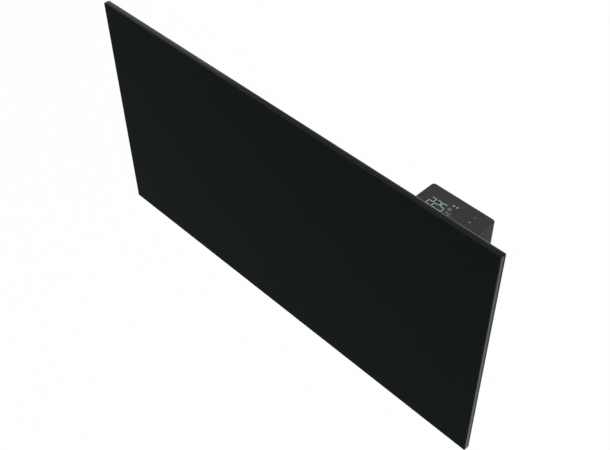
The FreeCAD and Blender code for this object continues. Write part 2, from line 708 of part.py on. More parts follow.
def heat_shield():
    x0 = X_CHAMBER_LEFT + SHIELD_MARGIN
    x1 = X_CHAMBER_RIGHT - SHIELD_MARGIN
    z1 = Z_CHAMBER - SHIELD_MARGIN
    plate = box(x0, x1, Y_SHIELD_FRONT, Y_SHIELD_BACK, -z1, z1)
    feet = [
        rod(SHIELD_FOOT_RADIUS, vec(x, Y_TRAY_BACK, z), Y_AXIS, SHIELD_STANDOFF + SHIELD_SHEET)
        for x in (x0 + SHIELD_FOOT_INSET, (x0 + x1) / 2, x1 - SHIELD_FOOT_INSET)
        for z in (SHIELD_FOOT_INSET - z1, z1 - SHIELD_FOOT_INSET)
    ]
    return joined([plate] + feet)


def element_fins():
    x0 = X_CHAMBER_LEFT + FIN_END_MARGIN
    length = X_CHAMBER_RIGHT - FIN_END_MARGIN - x0
    depth = Y_CHAMBER_INNER - Y_SHIELD_BACK - 2 * FIN_CLEARANCE
    span = math.hypot(depth, FIN_HEIGHT)
    lean = math.degrees(math.atan2(depth, FIN_HEIGHT))
    middle = vec(0, Y_ELEMENT, Z_ELEMENT)
    fins = []
    for turn in (-lean, lean):
        fin = box(x0, x0 + length, Y_ELEMENT - FIN_SHEET / 2, Y_ELEMENT + FIN_SHEET / 2,
                  Z_ELEMENT - span / 2, Z_ELEMENT + span / 2)
        fins.append(fin.rotate(middle, X_AXIS, turn))
    boss = rod(FIN_BOSS_RADIUS, vec(x0, Y_ELEMENT, Z_ELEMENT), X_AXIS, length)
    bore = rod(ROD_RADIUS + FIT_CLEARANCE, vec(x0 - CUT_OVERRUN, Y_ELEMENT, Z_ELEMENT), X_AXIS,
               length + 2 * CUT_OVERRUN)
    return joined([boss] + fins).cut(bore)


def heating_rod():
    x0 = X_CHAMBER_LEFT + ROD_END_MARGIN
    x1 = X_CHAMBER_RIGHT - ROD_END_MARGIN
    sheath = rod(ROD_RADIUS, vec(x0, Y_ELEMENT, Z_ELEMENT), X_AXIS, x1 - x0)
    stud = rod(ROD_STUD_RADIUS, vec(x0 - ROD_STUD_LENGTH, Y_ELEMENT, Z_ELEMENT), X_AXIS,
               x1 - x0 + 2 * ROD_STUD_LENGTH)
    return joined([sheath, stud])


def element_bracket(x_plate, inward):
    """An end plate that holds the element, with its foot towards the middle, along inward."""
    sheet = ELEMENT_BRACKET_SHEET
    low = Z_ELEMENT - INSULATOR_RADIUS - ELEMENT_BRACKET_REACH
    high = Z_ELEMENT + INSULATOR_RADIUS + ELEMENT_BRACKET_REACH
    y_front = Y_ELEMENT - INSULATOR_RADIUS - FIN_CLEARANCE
    x_foot = x_plate + inward * ELEMENT_BRACKET_FOOT
    plate = box(x_plate - sheet / 2, x_plate + sheet / 2, y_front, Y_CHAMBER_INNER, low, high)
    foot = box(min(x_plate, x_foot), max(x_plate, x_foot), Y_CHAMBER_INNER - sheet, Y_CHAMBER_INNER, low, high)
    seat = rod(INSULATOR_RADIUS + FIT_CLEARANCE, vec(x_plate - sheet, Y_ELEMENT, Z_ELEMENT), X_AXIS, 2 * sheet)
    return joined([plate, foot]).cut(seat)


def left_element_bracket():
    return element_bracket(X_CHAMBER_LEFT + ELEMENT_BRACKET_MARGIN, 1)


def right_element_bracket():
    return element_bracket(X_CHAMBER_RIGHT - ELEMENT_BRACKET_MARGIN, -1)


def rod_insulator(x_plate, inward):
    """A ceramic sleeve in an end plate, with its collar on the inner side of the plate."""
    x0 = x_plate - INSULATOR_LENGTH / 2
    sleeve = rod(INSULATOR_RADIUS, vec(x0, Y_ELEMENT, Z_ELEMENT), X_AXIS, INSULATOR_LENGTH)
    x_collar = x_plate + inward * ELEMENT_BRACKET_SHEET / 2
    collar = rod(INSULATOR_RADIUS + INSULATOR_COLLAR, vec(x_collar, Y_ELEMENT, Z_ELEMENT), X_AXIS * inward,
                 INSULATOR_COLLAR)
    bore = rod(ROD_RADIUS + FIT_CLEARANCE, vec(x0 - CUT_OVERRUN, Y_ELEMENT, Z_ELEMENT), X_AXIS,
               INSULATOR_LENGTH + 2 * CUT_OVERRUN)
    return joined([sleeve, collar]).cut(bore)


def rod_insulators():
    return Part.makeCompound([
        rod_insulator(X_CHAMBER_LEFT + ELEMENT_BRACKET_MARGIN, 1),
        rod_insulator(X_CHAMBER_RIGHT - ELEMENT_BRACKET_MARGIN, -1),
    ])


def thermal_cutout():
    z0 = Z_CUTOUT_TOP - CUTOUT_HEIGHT
    can = rod(CUTOUT_RADIUS, vec(X_CUTOUT, Y_ELEMENT, z0), Z_AXIS, CUTOUT_HEIGHT)
    reach = CUTOUT_RADIUS + CUTOUT_TAB_LENGTH
    tabs = box(X_CUTOUT - reach, X_CUTOUT + reach,
               Y_ELEMENT - CUTOUT_TAB_WIDTH / 2, Y_ELEMENT + CUTOUT_TAB_WIDTH / 2,
               Z_CUTOUT_TABS - CUTOUT_TAB_SHEET / 2, Z_CUTOUT_TABS + CUTOUT_TAB_SHEET / 2)
    return joined([can, tabs])


def cutout_bracket():
    sheet = CUTOUT_BRACKET_SHEET
    y_wall = Y_CHAMBER_INNER - sheet / 2
    z_leg = Z_CUTOUT_TOP + sheet / 2
    path = [
        (y_wall, z_leg + CUTOUT_BRACKET_RISE),
        (y_wall, z_leg),
        (Y_ELEMENT - CUTOUT_RADIUS - 2 * sheet, z_leg),
    ]
    return bent_sheet(path, sheet, 2 * sheet, X_CUTOUT, 2 * CUTOUT_RADIUS + 2 * sheet)


# Leads

def neutral_lead():
    height = lead_heights()[0]
    x_stud = X_CHAMBER_LEFT + ROD_END_MARGIN - ROD_STUD_LENGTH / 2
    return lead([
        vec(X_TERMINAL - LEAD_END_GAP, Y_ELEMENT, height),
        vec(x_stud, Y_ELEMENT, height),
        vec(x_stud, Y_ELEMENT, Z_ELEMENT + ROD_STUD_RADIUS + LEAD_END_GAP),
    ], LEAD_RADIUS, LEAD_BEND_RADIUS)


def live_lead():
    height = lead_heights()[1]
    x_drop = X_CUTOUT + LIVE_LEAD_DROP_OFFSET
    return lead([
        vec(X_TERMINAL - LEAD_END_GAP, Y_ELEMENT, height),
        vec(x_drop, Y_ELEMENT, height),
        vec(x_drop, Y_ELEMENT, Z_CUTOUT_TABS),
        vec(X_CUTOUT + CUTOUT_RADIUS + CUTOUT_TAB_LENGTH + LEAD_END_GAP, Y_ELEMENT, Z_CUTOUT_TABS),
    ], LEAD_RADIUS, LEAD_BEND_RADIUS)


def cutout_lead():
    x_turn = X_CUTOUT - CUTOUT_LEAD_OFFSET
    z_low = (Z_CUTOUT_TABS + Z_ELEMENT + FIN_HEIGHT / 2) / 2
    x_stud = X_CHAMBER_RIGHT - ROD_END_MARGIN + ROD_STUD_LENGTH / 2
    return lead([
        vec(X_CUTOUT - CUTOUT_RADIUS - CUTOUT_TAB_LENGTH - LEAD_END_GAP, Y_ELEMENT, Z_CUTOUT_TABS),
        vec(x_turn, Y_ELEMENT, Z_CUTOUT_TABS),
        vec(x_turn, Y_ELEMENT, z_low),
        vec(x_stud, Y_ELEMENT, z_low),
        vec(x_stud, Y_ELEMENT, Z_ELEMENT + ROD_STUD_RADIUS + LEAD_END_GAP),
    ], LEAD_RADIUS, LEAD_BEND_RADIUS)


def earth_lead():
    height = lead_heights()[2]
    x_stud = X_CHAMBER_RIGHT - EARTH_FROM_RIGHT
    y_stud = Y_CHAMBER_INNER - EARTH_STUD_LENGTH
    return lead([
        vec(X_TERMINAL - LEAD_END_GAP, Y_ELEMENT, height),
        vec(x_stud, Y_ELEMENT, height),
        vec(x_stud, y_stud - LEAD_END_GAP, height),
    ], LEAD_RADIUS, LEAD_BEND_RADIUS)


def earth_stud():
    return rod(EARTH_STUD_RADIUS,
               vec(X_CHAMBER_RIGHT - EARTH_FROM_RIGHT, Y_CHAMBER_INNER - EARTH_STUD_LENGTH, lead_heights()[2]),
               Y_AXIS, EARTH_STUD_LENGTH)


def bush_neck(x0, depth, clearance):
    """The part of the lead bush that fills the holes in the two walls, from x0 along +X."""
    width = 2 * (LEAD_RADIUS + BUSH_WALL + clearance)
    return stadium(vec(x0, Y_ELEMENT, Z_LEADS), Z_AXIS, X_AXIS, 2 * LEAD_PITCH + width, width, depth)


def lead_bush():
    x0 = X_CHAMBER_RIGHT - CHAMBER_SHEET - BUSH_OVERHANG
    x1 = X_CONTROL_LEFT + CONTROL_WALL + BUSH_OVERHANG
    neck = bush_neck(x0, x1 - x0, 0)
    collar = bush_neck(X_CHAMBER_RIGHT, X_CONTROL_LEFT - X_CHAMBER_RIGHT, BUSH_FLANGE)
    bores = [
        rod(LEAD_RADIUS + FIT_CLEARANCE, vec(x0 - CUT_OVERRUN, Y_ELEMENT, z), X_AXIS,
            x1 - x0 + 2 * CUT_OVERRUN)
        for z in lead_heights()
    ]
    return cut_by(joined([neck, collar]), bores)


# Control box

def control_outline(inset, z):
    """The box's plan as a face at a height, drawn in by the inset, with its two back corners round."""
    x0 = X_CONTROL_LEFT + inset
    x1 = X_CONTROL_RIGHT - inset
    y0 = Y_CONTROL_FRONT + inset
    y1 = Y_CONTROL_BACK - inset
    radius = max(CONTROL_CORNER_RADIUS - inset, CONTROL_WALL / 2)
    slant = radius * (1 - math.sqrt(0.5))
    edges = [
        Part.makeLine(vec(x0, y0, z), vec(x1, y0, z)),
        Part.makeLine(vec(x1, y0, z), vec(x1, y1 - radius, z)),
        Part.Arc(vec(x1, y1 - radius, z), vec(x1 - slant, y1 - slant, z), vec(x1 - radius, y1, z)).toShape(),
        Part.makeLine(vec(x1 - radius, y1, z), vec(x0 + radius, y1, z)),
        Part.Arc(vec(x0 + radius, y1, z), vec(x0 + slant, y1 - slant, z), vec(x0, y1 - radius, z)).toShape(),
        Part.makeLine(vec(x0, y1 - radius, z), vec(x0, y0, z)),
    ]
    return Part.Face(Part.Wire(edges))


def switch_window(x0, x1, clearance):
    """A cutter for the switch's body in the right wall."""
    half_z = ROCKER_RADIUS + ROCKER_CLEARANCE + SWITCH_BODY_WALL + clearance
    half_y = ROCKER_WIDTH / 2 + ROCKER_CLEARANCE + SWITCH_BODY_WALL + clearance
    return box(x0, x1, Y_CONTROL_MIDDLE - half_y, Y_CONTROL_MIDDLE + half_y,
               Z_SWITCH - half_z, Z_SWITCH + half_z)


def control_housing():
    height = Z_LID_BOTTOM - Z_CONTROL_BOTTOM
    shell = control_outline(0, Z_CONTROL_BOTTOM).extrude(Z_AXIS * height)
    shell = filleted(shell, CONTROL_BASE_RADIUS,
                     lambda c: c.z < Z_CONTROL_BOTTOM + TINY and c.y > Y_CONTROL_FRONT + TINY)
    shell = shell.cut(control_outline(CONTROL_WALL, Z_CONTROL_FLOOR).extrude(Z_AXIS * height))
    y_inner = Y_CONTROL_BACK - CONTROL_WALL
    shell = joined([shell] + [
        rod(BOARD_BOSS_RADIUS, vec(x, Y_POWER_BACK, z), Y_AXIS, y_inner - Y_POWER_BACK + CONTROL_WALL / 2)
        for x, z in power_boss_places()
    ])
    tools = [
        rod(BOARD_SCREW_RADIUS + FIT_CLEARANCE, vec(x, Y_POWER_BACK - CUT_OVERRUN, z), Y_AXIS,
            BOARD_SCREW_LENGTH + CUT_OVERRUN)
        for x, z in power_boss_places()
    ]
    y_wall = Y_CONTROL_FRONT + CONTROL_WALL
    for x, z in housing_screw_places():
        tools.append(hole_y(x, z, SCREW_RADIUS + FIT_CLEARANCE, Y_CONTROL_FRONT, y_wall))
    through = 3 * CONTROL_WALL
    tools.append(bush_neck(X_CONTROL_LEFT - CONTROL_WALL, through, FIT_CLEARANCE))
    x_wall = X_CONTROL_RIGHT - 2 * CONTROL_WALL
    tools.append(switch_window(x_wall, x_wall + through, FIT_CLEARANCE))
    z_below = Z_CONTROL_BOTTOM - CONTROL_WALL
    tools.append(rod(gland_radius() + FIT_CLEARANCE, vec(X_GLAND, Y_CONTROL_MIDDLE, z_below), Z_AXIS, through))
    tools.append(rod(SENSOR_STEM_RADIUS + FIT_CLEARANCE, vec(X_SENSOR, Y_CONTROL_MIDDLE, z_below), Z_AXIS,
                     through))
    return cut_by(shell, tools)


def control_lid():
    lid = control_outline(0, Z_LID_BOTTOM).extrude(Z_AXIS * LID_THICKNESS)
    lid = filleted(lid, LID_EDGE_RADIUS,
                   lambda c: c.z > Z_CONTROL_TOP - TINY and c.y > Y_CONTROL_FRONT + TINY)
    z_lip = Z_LID_BOTTOM - LID_LIP_DEPTH
    rise = Z_AXIS * (LID_LIP_DEPTH + LID_THICKNESS / 2)
    lip = control_outline(CONTROL_WALL + LID_CLEARANCE, z_lip).extrude(rise)
    lip = lip.cut(control_outline(CONTROL_WALL + LID_CLEARANCE + LID_LIP_WALL, z_lip).extrude(rise))
    bosses = [
        rod(BOARD_BOSS_RADIUS, vec(x, y, Z_DISPLAY_TOP), Z_AXIS, DISPLAY_BOSS_LENGTH + LID_THICKNESS / 2)
        for x, y in display_boss_places()
    ]
    lid = joined([lid, lip] + bosses)
    return cut_by(lid, [
        rod(BOARD_SCREW_RADIUS + FIT_CLEARANCE, vec(x, y, Z_DISPLAY_TOP - CUT_OVERRUN), Z_AXIS,
            BOARD_SCREW_LENGTH + CUT_OVERRUN)
        for x, y in display_boss_places()
    ])


def display_board():
    board = box(X_BOARD_LEFT, X_BOARD_RIGHT, Y_CONTROL_FRONT + CONTROL_WALL + BOARD_MARGIN,
                Y_CONTROL_BACK - CONTROL_WALL - BOARD_MARGIN, Z_DISPLAY_BOTTOM, Z_DISPLAY_TOP)
    return cut_by(board, [
        rod(BOARD_SCREW_RADIUS + FIT_CLEARANCE, vec(x, y, Z_DISPLAY_BOTTOM - CUT_OVERRUN), Z_AXIS,
            BOARD_THICKNESS + 2 * CUT_OVERRUN)
        for x, y in display_boss_places()
    ])


def digit_module():
    x0 = X_CONTROL_LEFT + DIGITS_FROM_LEFT
    y1 = Y_CONTROL_BACK - DIGITS_FROM_BACK
    return box(x0, x0 + DIGITS_WIDTH, y1 - DIGITS_DEPTH, y1, Z_DISPLAY_TOP, Z_LID_BOTTOM)


def touch_pads():
    return Part.makeCompound([
        rod(PAD_RADIUS, vec(x, y, Z_DISPLAY_TOP), Z_AXIS, DISPLAY_BOSS_LENGTH) for x, y in pad_places()
    ])


def radio_module():
    x = (X_CONTROL_LEFT + X_CONTROL_RIGHT) / 2
    y0 = Y_CONTROL_FRONT + CONTROL_WALL + BOARD_MARGIN + BOARD_BOSS_INSET
    return box(x - RADIO_WIDTH / 2, x + RADIO_WIDTH / 2, y0, y0 + RADIO_DEPTH,
               Z_DISPLAY_BOTTOM - RADIO_HEIGHT, Z_DISPLAY_BOTTOM)


def display_board_screws():
    return Part.makeCompound([
        fastener(vec(x, y, Z_DISPLAY_BOTTOM), Z_AXIS, BOARD_SCREW_RADIUS, BOARD_THICKNESS + BOARD_SCREW_LENGTH,
                 BOARD_SCREW_HEAD_RADIUS, BOARD_SCREW_HEAD_HEIGHT, True)
        for x, y in display_boss_places()
    ])


def power_board():
    board = box(X_BOARD_LEFT, X_BOARD_RIGHT, Y_POWER_FRONT, Y_POWER_BACK, Z_POWER_BOTTOM, Z_POWER_TOP)
    return cut_by(board, [
        hole_y(x, z, BOARD_SCREW_RADIUS + FIT_CLEARANCE, Y_POWER_FRONT, Y_POWER_BACK)
        for x, z in power_boss_places()
    ])


def power_board_screws():
    return Part.makeCompound([
        fastener(vec(x, Y_POWER_FRONT, z), Y_AXIS, BOARD_SCREW_RADIUS, BOARD_THICKNESS + BOARD_SCREW_LENGTH,
                 BOARD_SCREW_HEAD_RADIUS, BOARD_SCREW_HEAD_HEIGHT, True)
        for x, z in power_boss_places()
    ])


def on_power_board(x0, width, z0, height, rise):
    """A block that stands on the front of the power board."""
    return box(x0, x0 + width, Y_POWER_FRONT - rise, Y_POWER_FRONT, z0, z0 + height)


def terminal_block():
    half = LEAD_PITCH * 1.5
    rise = Y_POWER_FRONT - Y_ELEMENT + TERMINAL_OVERHANG
    return on_power_board(X_TERMINAL, TERMINAL_WIDTH, Z_LEADS - half, 2 * half, rise)


def transformer():
    return on_power_board(X_TRANSFORMER, TRANSFORMER_SIZE, Z_LEADS, TRANSFORMER_SIZE, TRANSFORMER_HEIGHT)


def relay():
    return on_power_board(X_RELAY, RELAY_WIDTH, Z_SWITCH + ROCKER_RADIUS + RELAY_TO_SWITCH, RELAY_DEPTH,
                          RELAY_HEIGHT)


def capacitors():
    x = X_TRANSFORMER + CAPACITOR_RADIUS
    z = Z_LEADS + TRANSFORMER_SIZE + CAPACITOR_TO_TRANSFORMER + CAPACITOR_RADIUS
    return Part.makeCompound([
        rod(CAPACITOR_RADIUS, vec(x + step * CAPACITOR_PITCH, Y_POWER_FRONT, z), -Y_AXIS, CAPACITOR_HEIGHT)
        for step in range(2)
    ])


def ribbon_cable():
    y_bend = Y_POWER_FRONT - RIBBON_REACH
    z_start = Z_DISPLAY_BOTTOM - RIBBON_DROP
    path = [(Y_POWER_FRONT, z_start), (y_bend, z_start), (y_bend, Z_DISPLAY_BOTTOM)]
    x = X_BOARD_RIGHT - BOARD_BOSS_INSET - BOARD_SCREW_HEAD_RADIUS - RIBBON_TO_SCREW - RIBBON_WIDTH / 2
    return bent_sheet(path, RIBBON_SHEET, RIBBON_BEND_RADIUS, x, RIBBON_WIDTH)


def housing_screws():
    length = CONTROL_WALL + TRAY_SHEET
    return Part.makeCompound([
        fastener(vec(x, Y_CONTROL_FRONT + CONTROL_WALL, z), -Y_AXIS, SCREW_RADIUS, length,
                 SCREW_HEAD_RADIUS, SCREW_HEAD_HEIGHT, True)
        for x, z in housing_screw_places()
    ])


def room_sensor():
    z_tip = Z_CONTROL_BOTTOM - SENSOR_LENGTH
    cap = rod(SENSOR_RADIUS, vec(X_SENSOR, Y_CONTROL_MIDDLE, z_tip), Z_AXIS, SENSOR_LENGTH)
    cap = filleted(cap, SENSOR_TIP_ROUNDING, lambda c: c.z < z_tip + TINY)
    stem = rod(SENSOR_STEM_RADIUS, vec(X_SENSOR, Y_CONTROL_MIDDLE, Z_CONTROL_BOTTOM), Z_AXIS, 2 * CONTROL_WALL)
    head = rod(SENSOR_HEAD_RADIUS, vec(X_SENSOR, Y_CONTROL_MIDDLE, Z_CONTROL_FLOOR), Z_AXIS, CONTROL_WALL)
    z_slot = Z_CONTROL_BOTTOM - SENSOR_LENGTH / 2
    slots = []
    for turn in (0, 60, 120):
        slot = box(X_SENSOR - 2 * SENSOR_RADIUS, X_SENSOR + 2 * SENSOR_RADIUS,
                   Y_CONTROL_MIDDLE - SENSOR_SLOT_WIDTH / 2, Y_CONTROL_MIDDLE + SENSOR_SLOT_WIDTH / 2,
                   z_slot - SENSOR_SLOT_HEIGHT / 2, z_slot + SENSOR_SLOT_HEIGHT / 2)
        slots.append(slot.rotate(vec(X_SENSOR, Y_CONTROL_MIDDLE, 0), Z_AXIS, turn))
    core = rod(SENSOR_STEM_RADIUS, vec(X_SENSOR, Y_CONTROL_MIDDLE, z_tip + SENSOR_TIP_WALL), Z_AXIS,
               SENSOR_LENGTH - SENSOR_TIP_WALL)
    return joined([cap.cut(joined(slots)), core, stem, head])


def gland_radius():
    """Outside radius of the gland's threaded neck."""
    return GLAND_BORE_RADIUS + GLAND_WALL


def cable_gland():
    z_low = Z_CONTROL_BOTTOM - GLAND_FLANGE_HEIGHT
    z_high = Z_CONTROL_FLOOR + NUT_HEIGHT + GLAND_THREAD_SPARE
    flange = rod(gland_radius() + GLAND_FLANGE, vec(X_GLAND, Y_CONTROL_MIDDLE, z_low), Z_AXIS,
                 GLAND_FLANGE_HEIGHT)
    flange = filleted(flange, GLAND_FLANGE_ROUNDING, lambda c: c.z < z_low + TINY)
    neck = rod(gland_radius(), vec(X_GLAND, Y_CONTROL_MIDDLE, z_low), Z_AXIS, z_high - z_low)
    bore = rod(GLAND_BORE_RADIUS, vec(X_GLAND, Y_CONTROL_MIDDLE, z_low - CUT_OVERRUN), Z_AXIS,
               z_high - z_low + 2 * CUT_OVERRUN)
    return joined([flange, neck]).cut(bore)


def gland_nut():
    across = gland_radius() + NUT_FLATS_WALL
    corner = across / math.cos(math.pi / 6)
    ring = [
        vec(X_GLAND + corner * math.cos(step * math.pi / 3),
            Y_CONTROL_MIDDLE + corner * math.sin(step * math.pi / 3), Z_CONTROL_FLOOR)
        for step in range(7)
    ]
    nut = Part.Face(Part.makePolygon(ring)).extrude(Z_AXIS * NUT_HEIGHT)
    return nut.cut(rod(gland_radius() + FIT_CLEARANCE,
                       vec(X_GLAND, Y_CONTROL_MIDDLE, Z_CONTROL_FLOOR - CUT_OVERRUN), Z_AXIS,
                       NUT_HEIGHT + 2 * CUT_OVERRUN))


def switch_body():
    bezel = box(X_CONTROL_RIGHT, X_CONTROL_RIGHT + SWITCH_BEZEL_THICKNESS,
                Y_CONTROL_MIDDLE - SWITCH_BEZEL_WIDTH / 2, Y_CONTROL_MIDDLE + SWITCH_BEZEL_WIDTH / 2,
                Z_SWITCH - SWITCH_BEZEL_HEIGHT / 2, Z_SWITCH + SWITCH_BEZEL_HEIGHT / 2)
    bezel = filleted(bezel, SWITCH_BEZEL_ROUNDING,
                     lambda c: c.x > X_CONTROL_RIGHT + SWITCH_BEZEL_THICKNESS - TINY)
    x_back = X_CONTROL_RIGHT - SWITCH_BODY_DEPTH
    body = switch_window(x_back, X_CONTROL_RIGHT, 0)
    half_z = ROCKER_RADIUS + ROCKER_CLEARANCE
    half_y = ROCKER_WIDTH / 2 + ROCKER_CLEARANCE
    hollow = box(X_CONTROL_RIGHT - SWITCH_CAVITY_DEPTH, X_CONTROL_RIGHT + 2 * SWITCH_BEZEL_THICKNESS,
                 Y_CONTROL_MIDDLE - half_y, Y_CONTROL_MIDDLE + half_y, Z_SWITCH - half_z, Z_SWITCH + half_z)
    reach = ROCKER_WIDTH / 2 + ROCKER_TRUNNION_LENGTH + FIT_CLEARANCE
    trunnion = rod(ROCKER_TRUNNION_RADIUS + PIN_CLEARANCE, vec(X_ROCKER, Y_CONTROL_MIDDLE - reach, Z_SWITCH),
                   Y_AXIS, 2 * reach)
    blades = [
        box(x_back - SWITCH_BLADE_LENGTH, x_back, Y_CONTROL_MIDDLE - SWITCH_BLADE_WIDTH / 2,
            Y_CONTROL_MIDDLE + SWITCH_BLADE_WIDTH / 2, z - SWITCH_BLADE_SHEET / 2, z + SWITCH_BLADE_SHEET / 2)
        for z in (Z_SWITCH - SWITCH_BLADE_PITCH / 2, Z_SWITCH + SWITCH_BLADE_PITCH / 2)
    ]
    return joined([bezel, body] + blades).cut(hollow).cut(trunnion)


def switch_rocker():
    """A rocker with a shallow valley, turned so that its upper half is pressed in."""
    rise = ROCKER_RADIUS * math.tan(math.radians(ROCKER_TILT))
    outline = [
        vec(-ROCKER_INNER_DEPTH, 0, -ROCKER_RADIUS),
        vec(ROCKER_VALLEY + rise, 0, -ROCKER_RADIUS),
        vec(ROCKER_VALLEY, 0, 0),
        vec(ROCKER_VALLEY + rise, 0, ROCKER_RADIUS),
        vec(-ROCKER_INNER_DEPTH, 0, ROCKER_RADIUS),
    ]
    outline.append(outline[0])
    blank = Part.Face(Part.makePolygon(outline)).extrude(Y_AXIS * ROCKER_WIDTH)
    blank.translate(vec(0, -ROCKER_WIDTH / 2, 0))
    blank = blank.common(rod(ROCKER_RADIUS, vec(0, -ROCKER_WIDTH, 0), Y_AXIS, 2 * ROCKER_WIDTH))
    reach = ROCKER_WIDTH / 2 + ROCKER_TRUNNION_LENGTH
    trunnion = rod(ROCKER_TRUNNION_RADIUS, vec(0, -reach, 0), Y_AXIS, 2 * reach)
    rocker = joined([blank, trunnion])
    rocker.rotate(vec(0, 0, 0), Y_AXIS, -ROCKER_TILT)
    rocker.translate(vec(X_ROCKER, Y_CONTROL_MIDDLE, Z_SWITCH))
    return rocker


def switch_leads():
    x0 = X_CONTROL_RIGHT - SWITCH_BODY_DEPTH - SWITCH_BLADE_LENGTH - LEAD_END_GAP
    x1 = x0 - LEAD_BEND_RADIUS
    return Part.makeCompound([
        lead([
            vec(x0, Y_CONTROL_MIDDLE, z),
            vec(x1, Y_CONTROL_MIDDLE, z),
            vec(x1, Y_POWER_FRONT, z),
        ], LEAD_RADIUS, LEAD_BEND_RADIUS)
        for z in (Z_SWITCH - SWITCH_BLADE_PITCH / 2, Z_SWITCH + SWITCH_BLADE_PITCH / 2)
    ])


# Hanging parts on the heater

def ear_offset():
    """Distance of an ear's outer face from the middle of its rail."""
    return RAIL_WIDTH / 2 - RAIL_SHEET - EAR_TO_CHEEK


def ear_blank():
    """An ear's outline round the pin, with a heel that meets the rail at the end of the tilt."""
    root = box(0, EAR_SHEET, Y_CHAMBER_BACK, Y_PIN, Z_PIN - EAR_RADIUS, Z_PIN + EAR_RADIUS)
    nose = rod(EAR_RADIUS, vec(0, Y_PIN, Z_PIN), X_AXIS, EAR_SHEET)
    tilt = math.radians(TILT_RANGE)
    normal = vec(0, math.cos(tilt), -math.sin(tilt))
    along = vec(0, math.sin(tilt), math.cos(tilt))
    pin = vec(0, Y_PIN, Z_PIN)
    reach = -RAIL_SHEET - HEEL_GAP - Y_PIN
    upper = pin + normal * reach + along * HEEL_UPPER
    lower = pin + normal * reach - along * HEEL_LOWER
    heel_root = pin - along * EAR_RADIUS
    heel = Part.Face(Part.makePolygon([pin, upper, lower, heel_root, pin])).extrude(X_AXIS * EAR_SHEET)
    return joined([root, nose, heel])


def pivot_bracket(x_rail):
    """A folded bracket with two ears that carry the pivot pin between the cheeks of a rail."""
    half = ear_offset()
    base = box(x_rail - half, x_rail + half, Y_CHAMBER_BACK, Y_CHAMBER_BACK + EAR_SHEET,
               Z_PIN - EAR_BASE_HEIGHT / 2, Z_PIN + EAR_BASE_HEIGHT / 2)
    ears = [ear_blank().translate(vec(x, 0, 0)) for x in (x_rail - half, x_rail + half - EAR_SHEET)]
    x0 = x_rail - half - CUT_OVERRUN
    tools = [rod(PIN_RADIUS + PIN_CLEARANCE, vec(x0, Y_PIN, Z_PIN), X_AXIS, 2 * (half + CUT_OVERRUN))]
    for x, z in pivot_rivet_places(x_rail):
        tools.append(hole_y(x, z, RIVET_RADIUS + FIT_CLEARANCE, Y_CHAMBER_BACK, Y_CHAMBER_BACK + EAR_SHEET))
    return cut_by(joined([base] + ears), tools)


def pivot_pin(x_rail):
    """A headed pin that passes both ears and both cheeks of a rail."""
    half = RAIL_WIDTH / 2 + PIN_SIDE_PLAY
    shank = rod(PIN_RADIUS, vec(x_rail - half, Y_PIN, Z_PIN), X_AXIS, 2 * half)
    heads = [
        rod(PIN_HEAD_RADIUS, vec(x_rail - half - PIN_HEAD_HEIGHT, Y_PIN, Z_PIN), X_AXIS, PIN_HEAD_HEIGHT),
        rod(PIN_HEAD_RADIUS, vec(x_rail + half, Y_PIN, Z_PIN), X_AXIS, PIN_HEAD_HEIGHT),
    ]
    return joined([shank] + heads)


def pivot_pins():
    return Part.makeCompound([pivot_pin(x_rail) for x_rail in X_RAILS])


def strike(x_rail):
    """A folded strike on the back panel whose upturned lip the catch spring holds."""
    y_base = Y_CHAMBER_BACK + STRIKE_SHEET / 2
    y_lip = Y_CHAMBER_BACK + STRIKE_TO_PANEL
    z_shelf = Z_SHELF + STRIKE_SHEET / 2
    path = [
        (y_base, Z_SHELF - STRIKE_BASE_HEIGHT),
        (y_base, z_shelf),
        (y_lip, z_shelf),
        (y_lip, z_shelf + STRIKE_LIP_HEIGHT),
    ]
    solid = bent_sheet(path, STRIKE_SHEET, STRIKE_BEND_RADIUS, x_rail, STRIKE_WIDTH)
    return cut_by(solid, [
        hole_y(x, z, RIVET_RADIUS + FIT_CLEARANCE, Y_CHAMBER_BACK, Y_CHAMBER_BACK + STRIKE_SHEET)
        for x, z in strike_rivet_places(x_rail)
    ])


def hanger_rivets():
    rivets = []
    for x_rail in X_RAILS:
        for x, z in pivot_rivet_places(x_rail):
            rivets.append(double_rivet(x, Y_CHAMBER_BACK + EAR_SHEET, Y_CHAMBER_INNER, z))
        for x, z in strike_rivet_places(x_rail):
            rivets.append(double_rivet(x, Y_CHAMBER_BACK + STRIKE_SHEET, Y_CHAMBER_INNER, z))
    return Part.makeCompound(rivets)


# Wall bracket

def rail_cheek(x0):
    """One side of a rail: a stiffening flange with a hook at its lower end that takes the pivot pin."""
    slot = PIN_RADIUS + HOOK_CLEARANCE
    outer = slot + HOOK_WALL
    x1 = x0 + RAIL_SHEET
    z_hook = Z_PIN + HOOK_RISE
    y_prong = Y_PIN - slot - HOOK_WALL / 2
    solids = [
        box(x0, x1, -RAIL_FLANGE, 0, Z_RAIL_BOTTOM, Z_RAIL_TOP),
        box(x0, x1, Y_PIN, 0, Z_PIN - outer, z_hook),
        rod(outer, vec(x0, Y_PIN, Z_PIN), X_AXIS, RAIL_SHEET),
        box(x0, x1, Y_PIN - outer, Y_PIN, Z_PIN, z_hook),
        rod(HOOK_WALL / 2, vec(x0, y_prong, z_hook), X_AXIS, RAIL_SHEET),
    ]
    x_cut = x0 - CUT_OVERRUN
    mouth = box(x_cut, x1 + CUT_OVERRUN, Y_PIN - slot, Y_PIN + slot, Z_PIN, z_hook + HOOK_WALL)
    seat = rod(slot, vec(x_cut, Y_PIN, Z_PIN), X_AXIS, RAIL_SHEET + 2 * CUT_OVERRUN)
    return joined(solids).cut(joined([mouth, seat]))


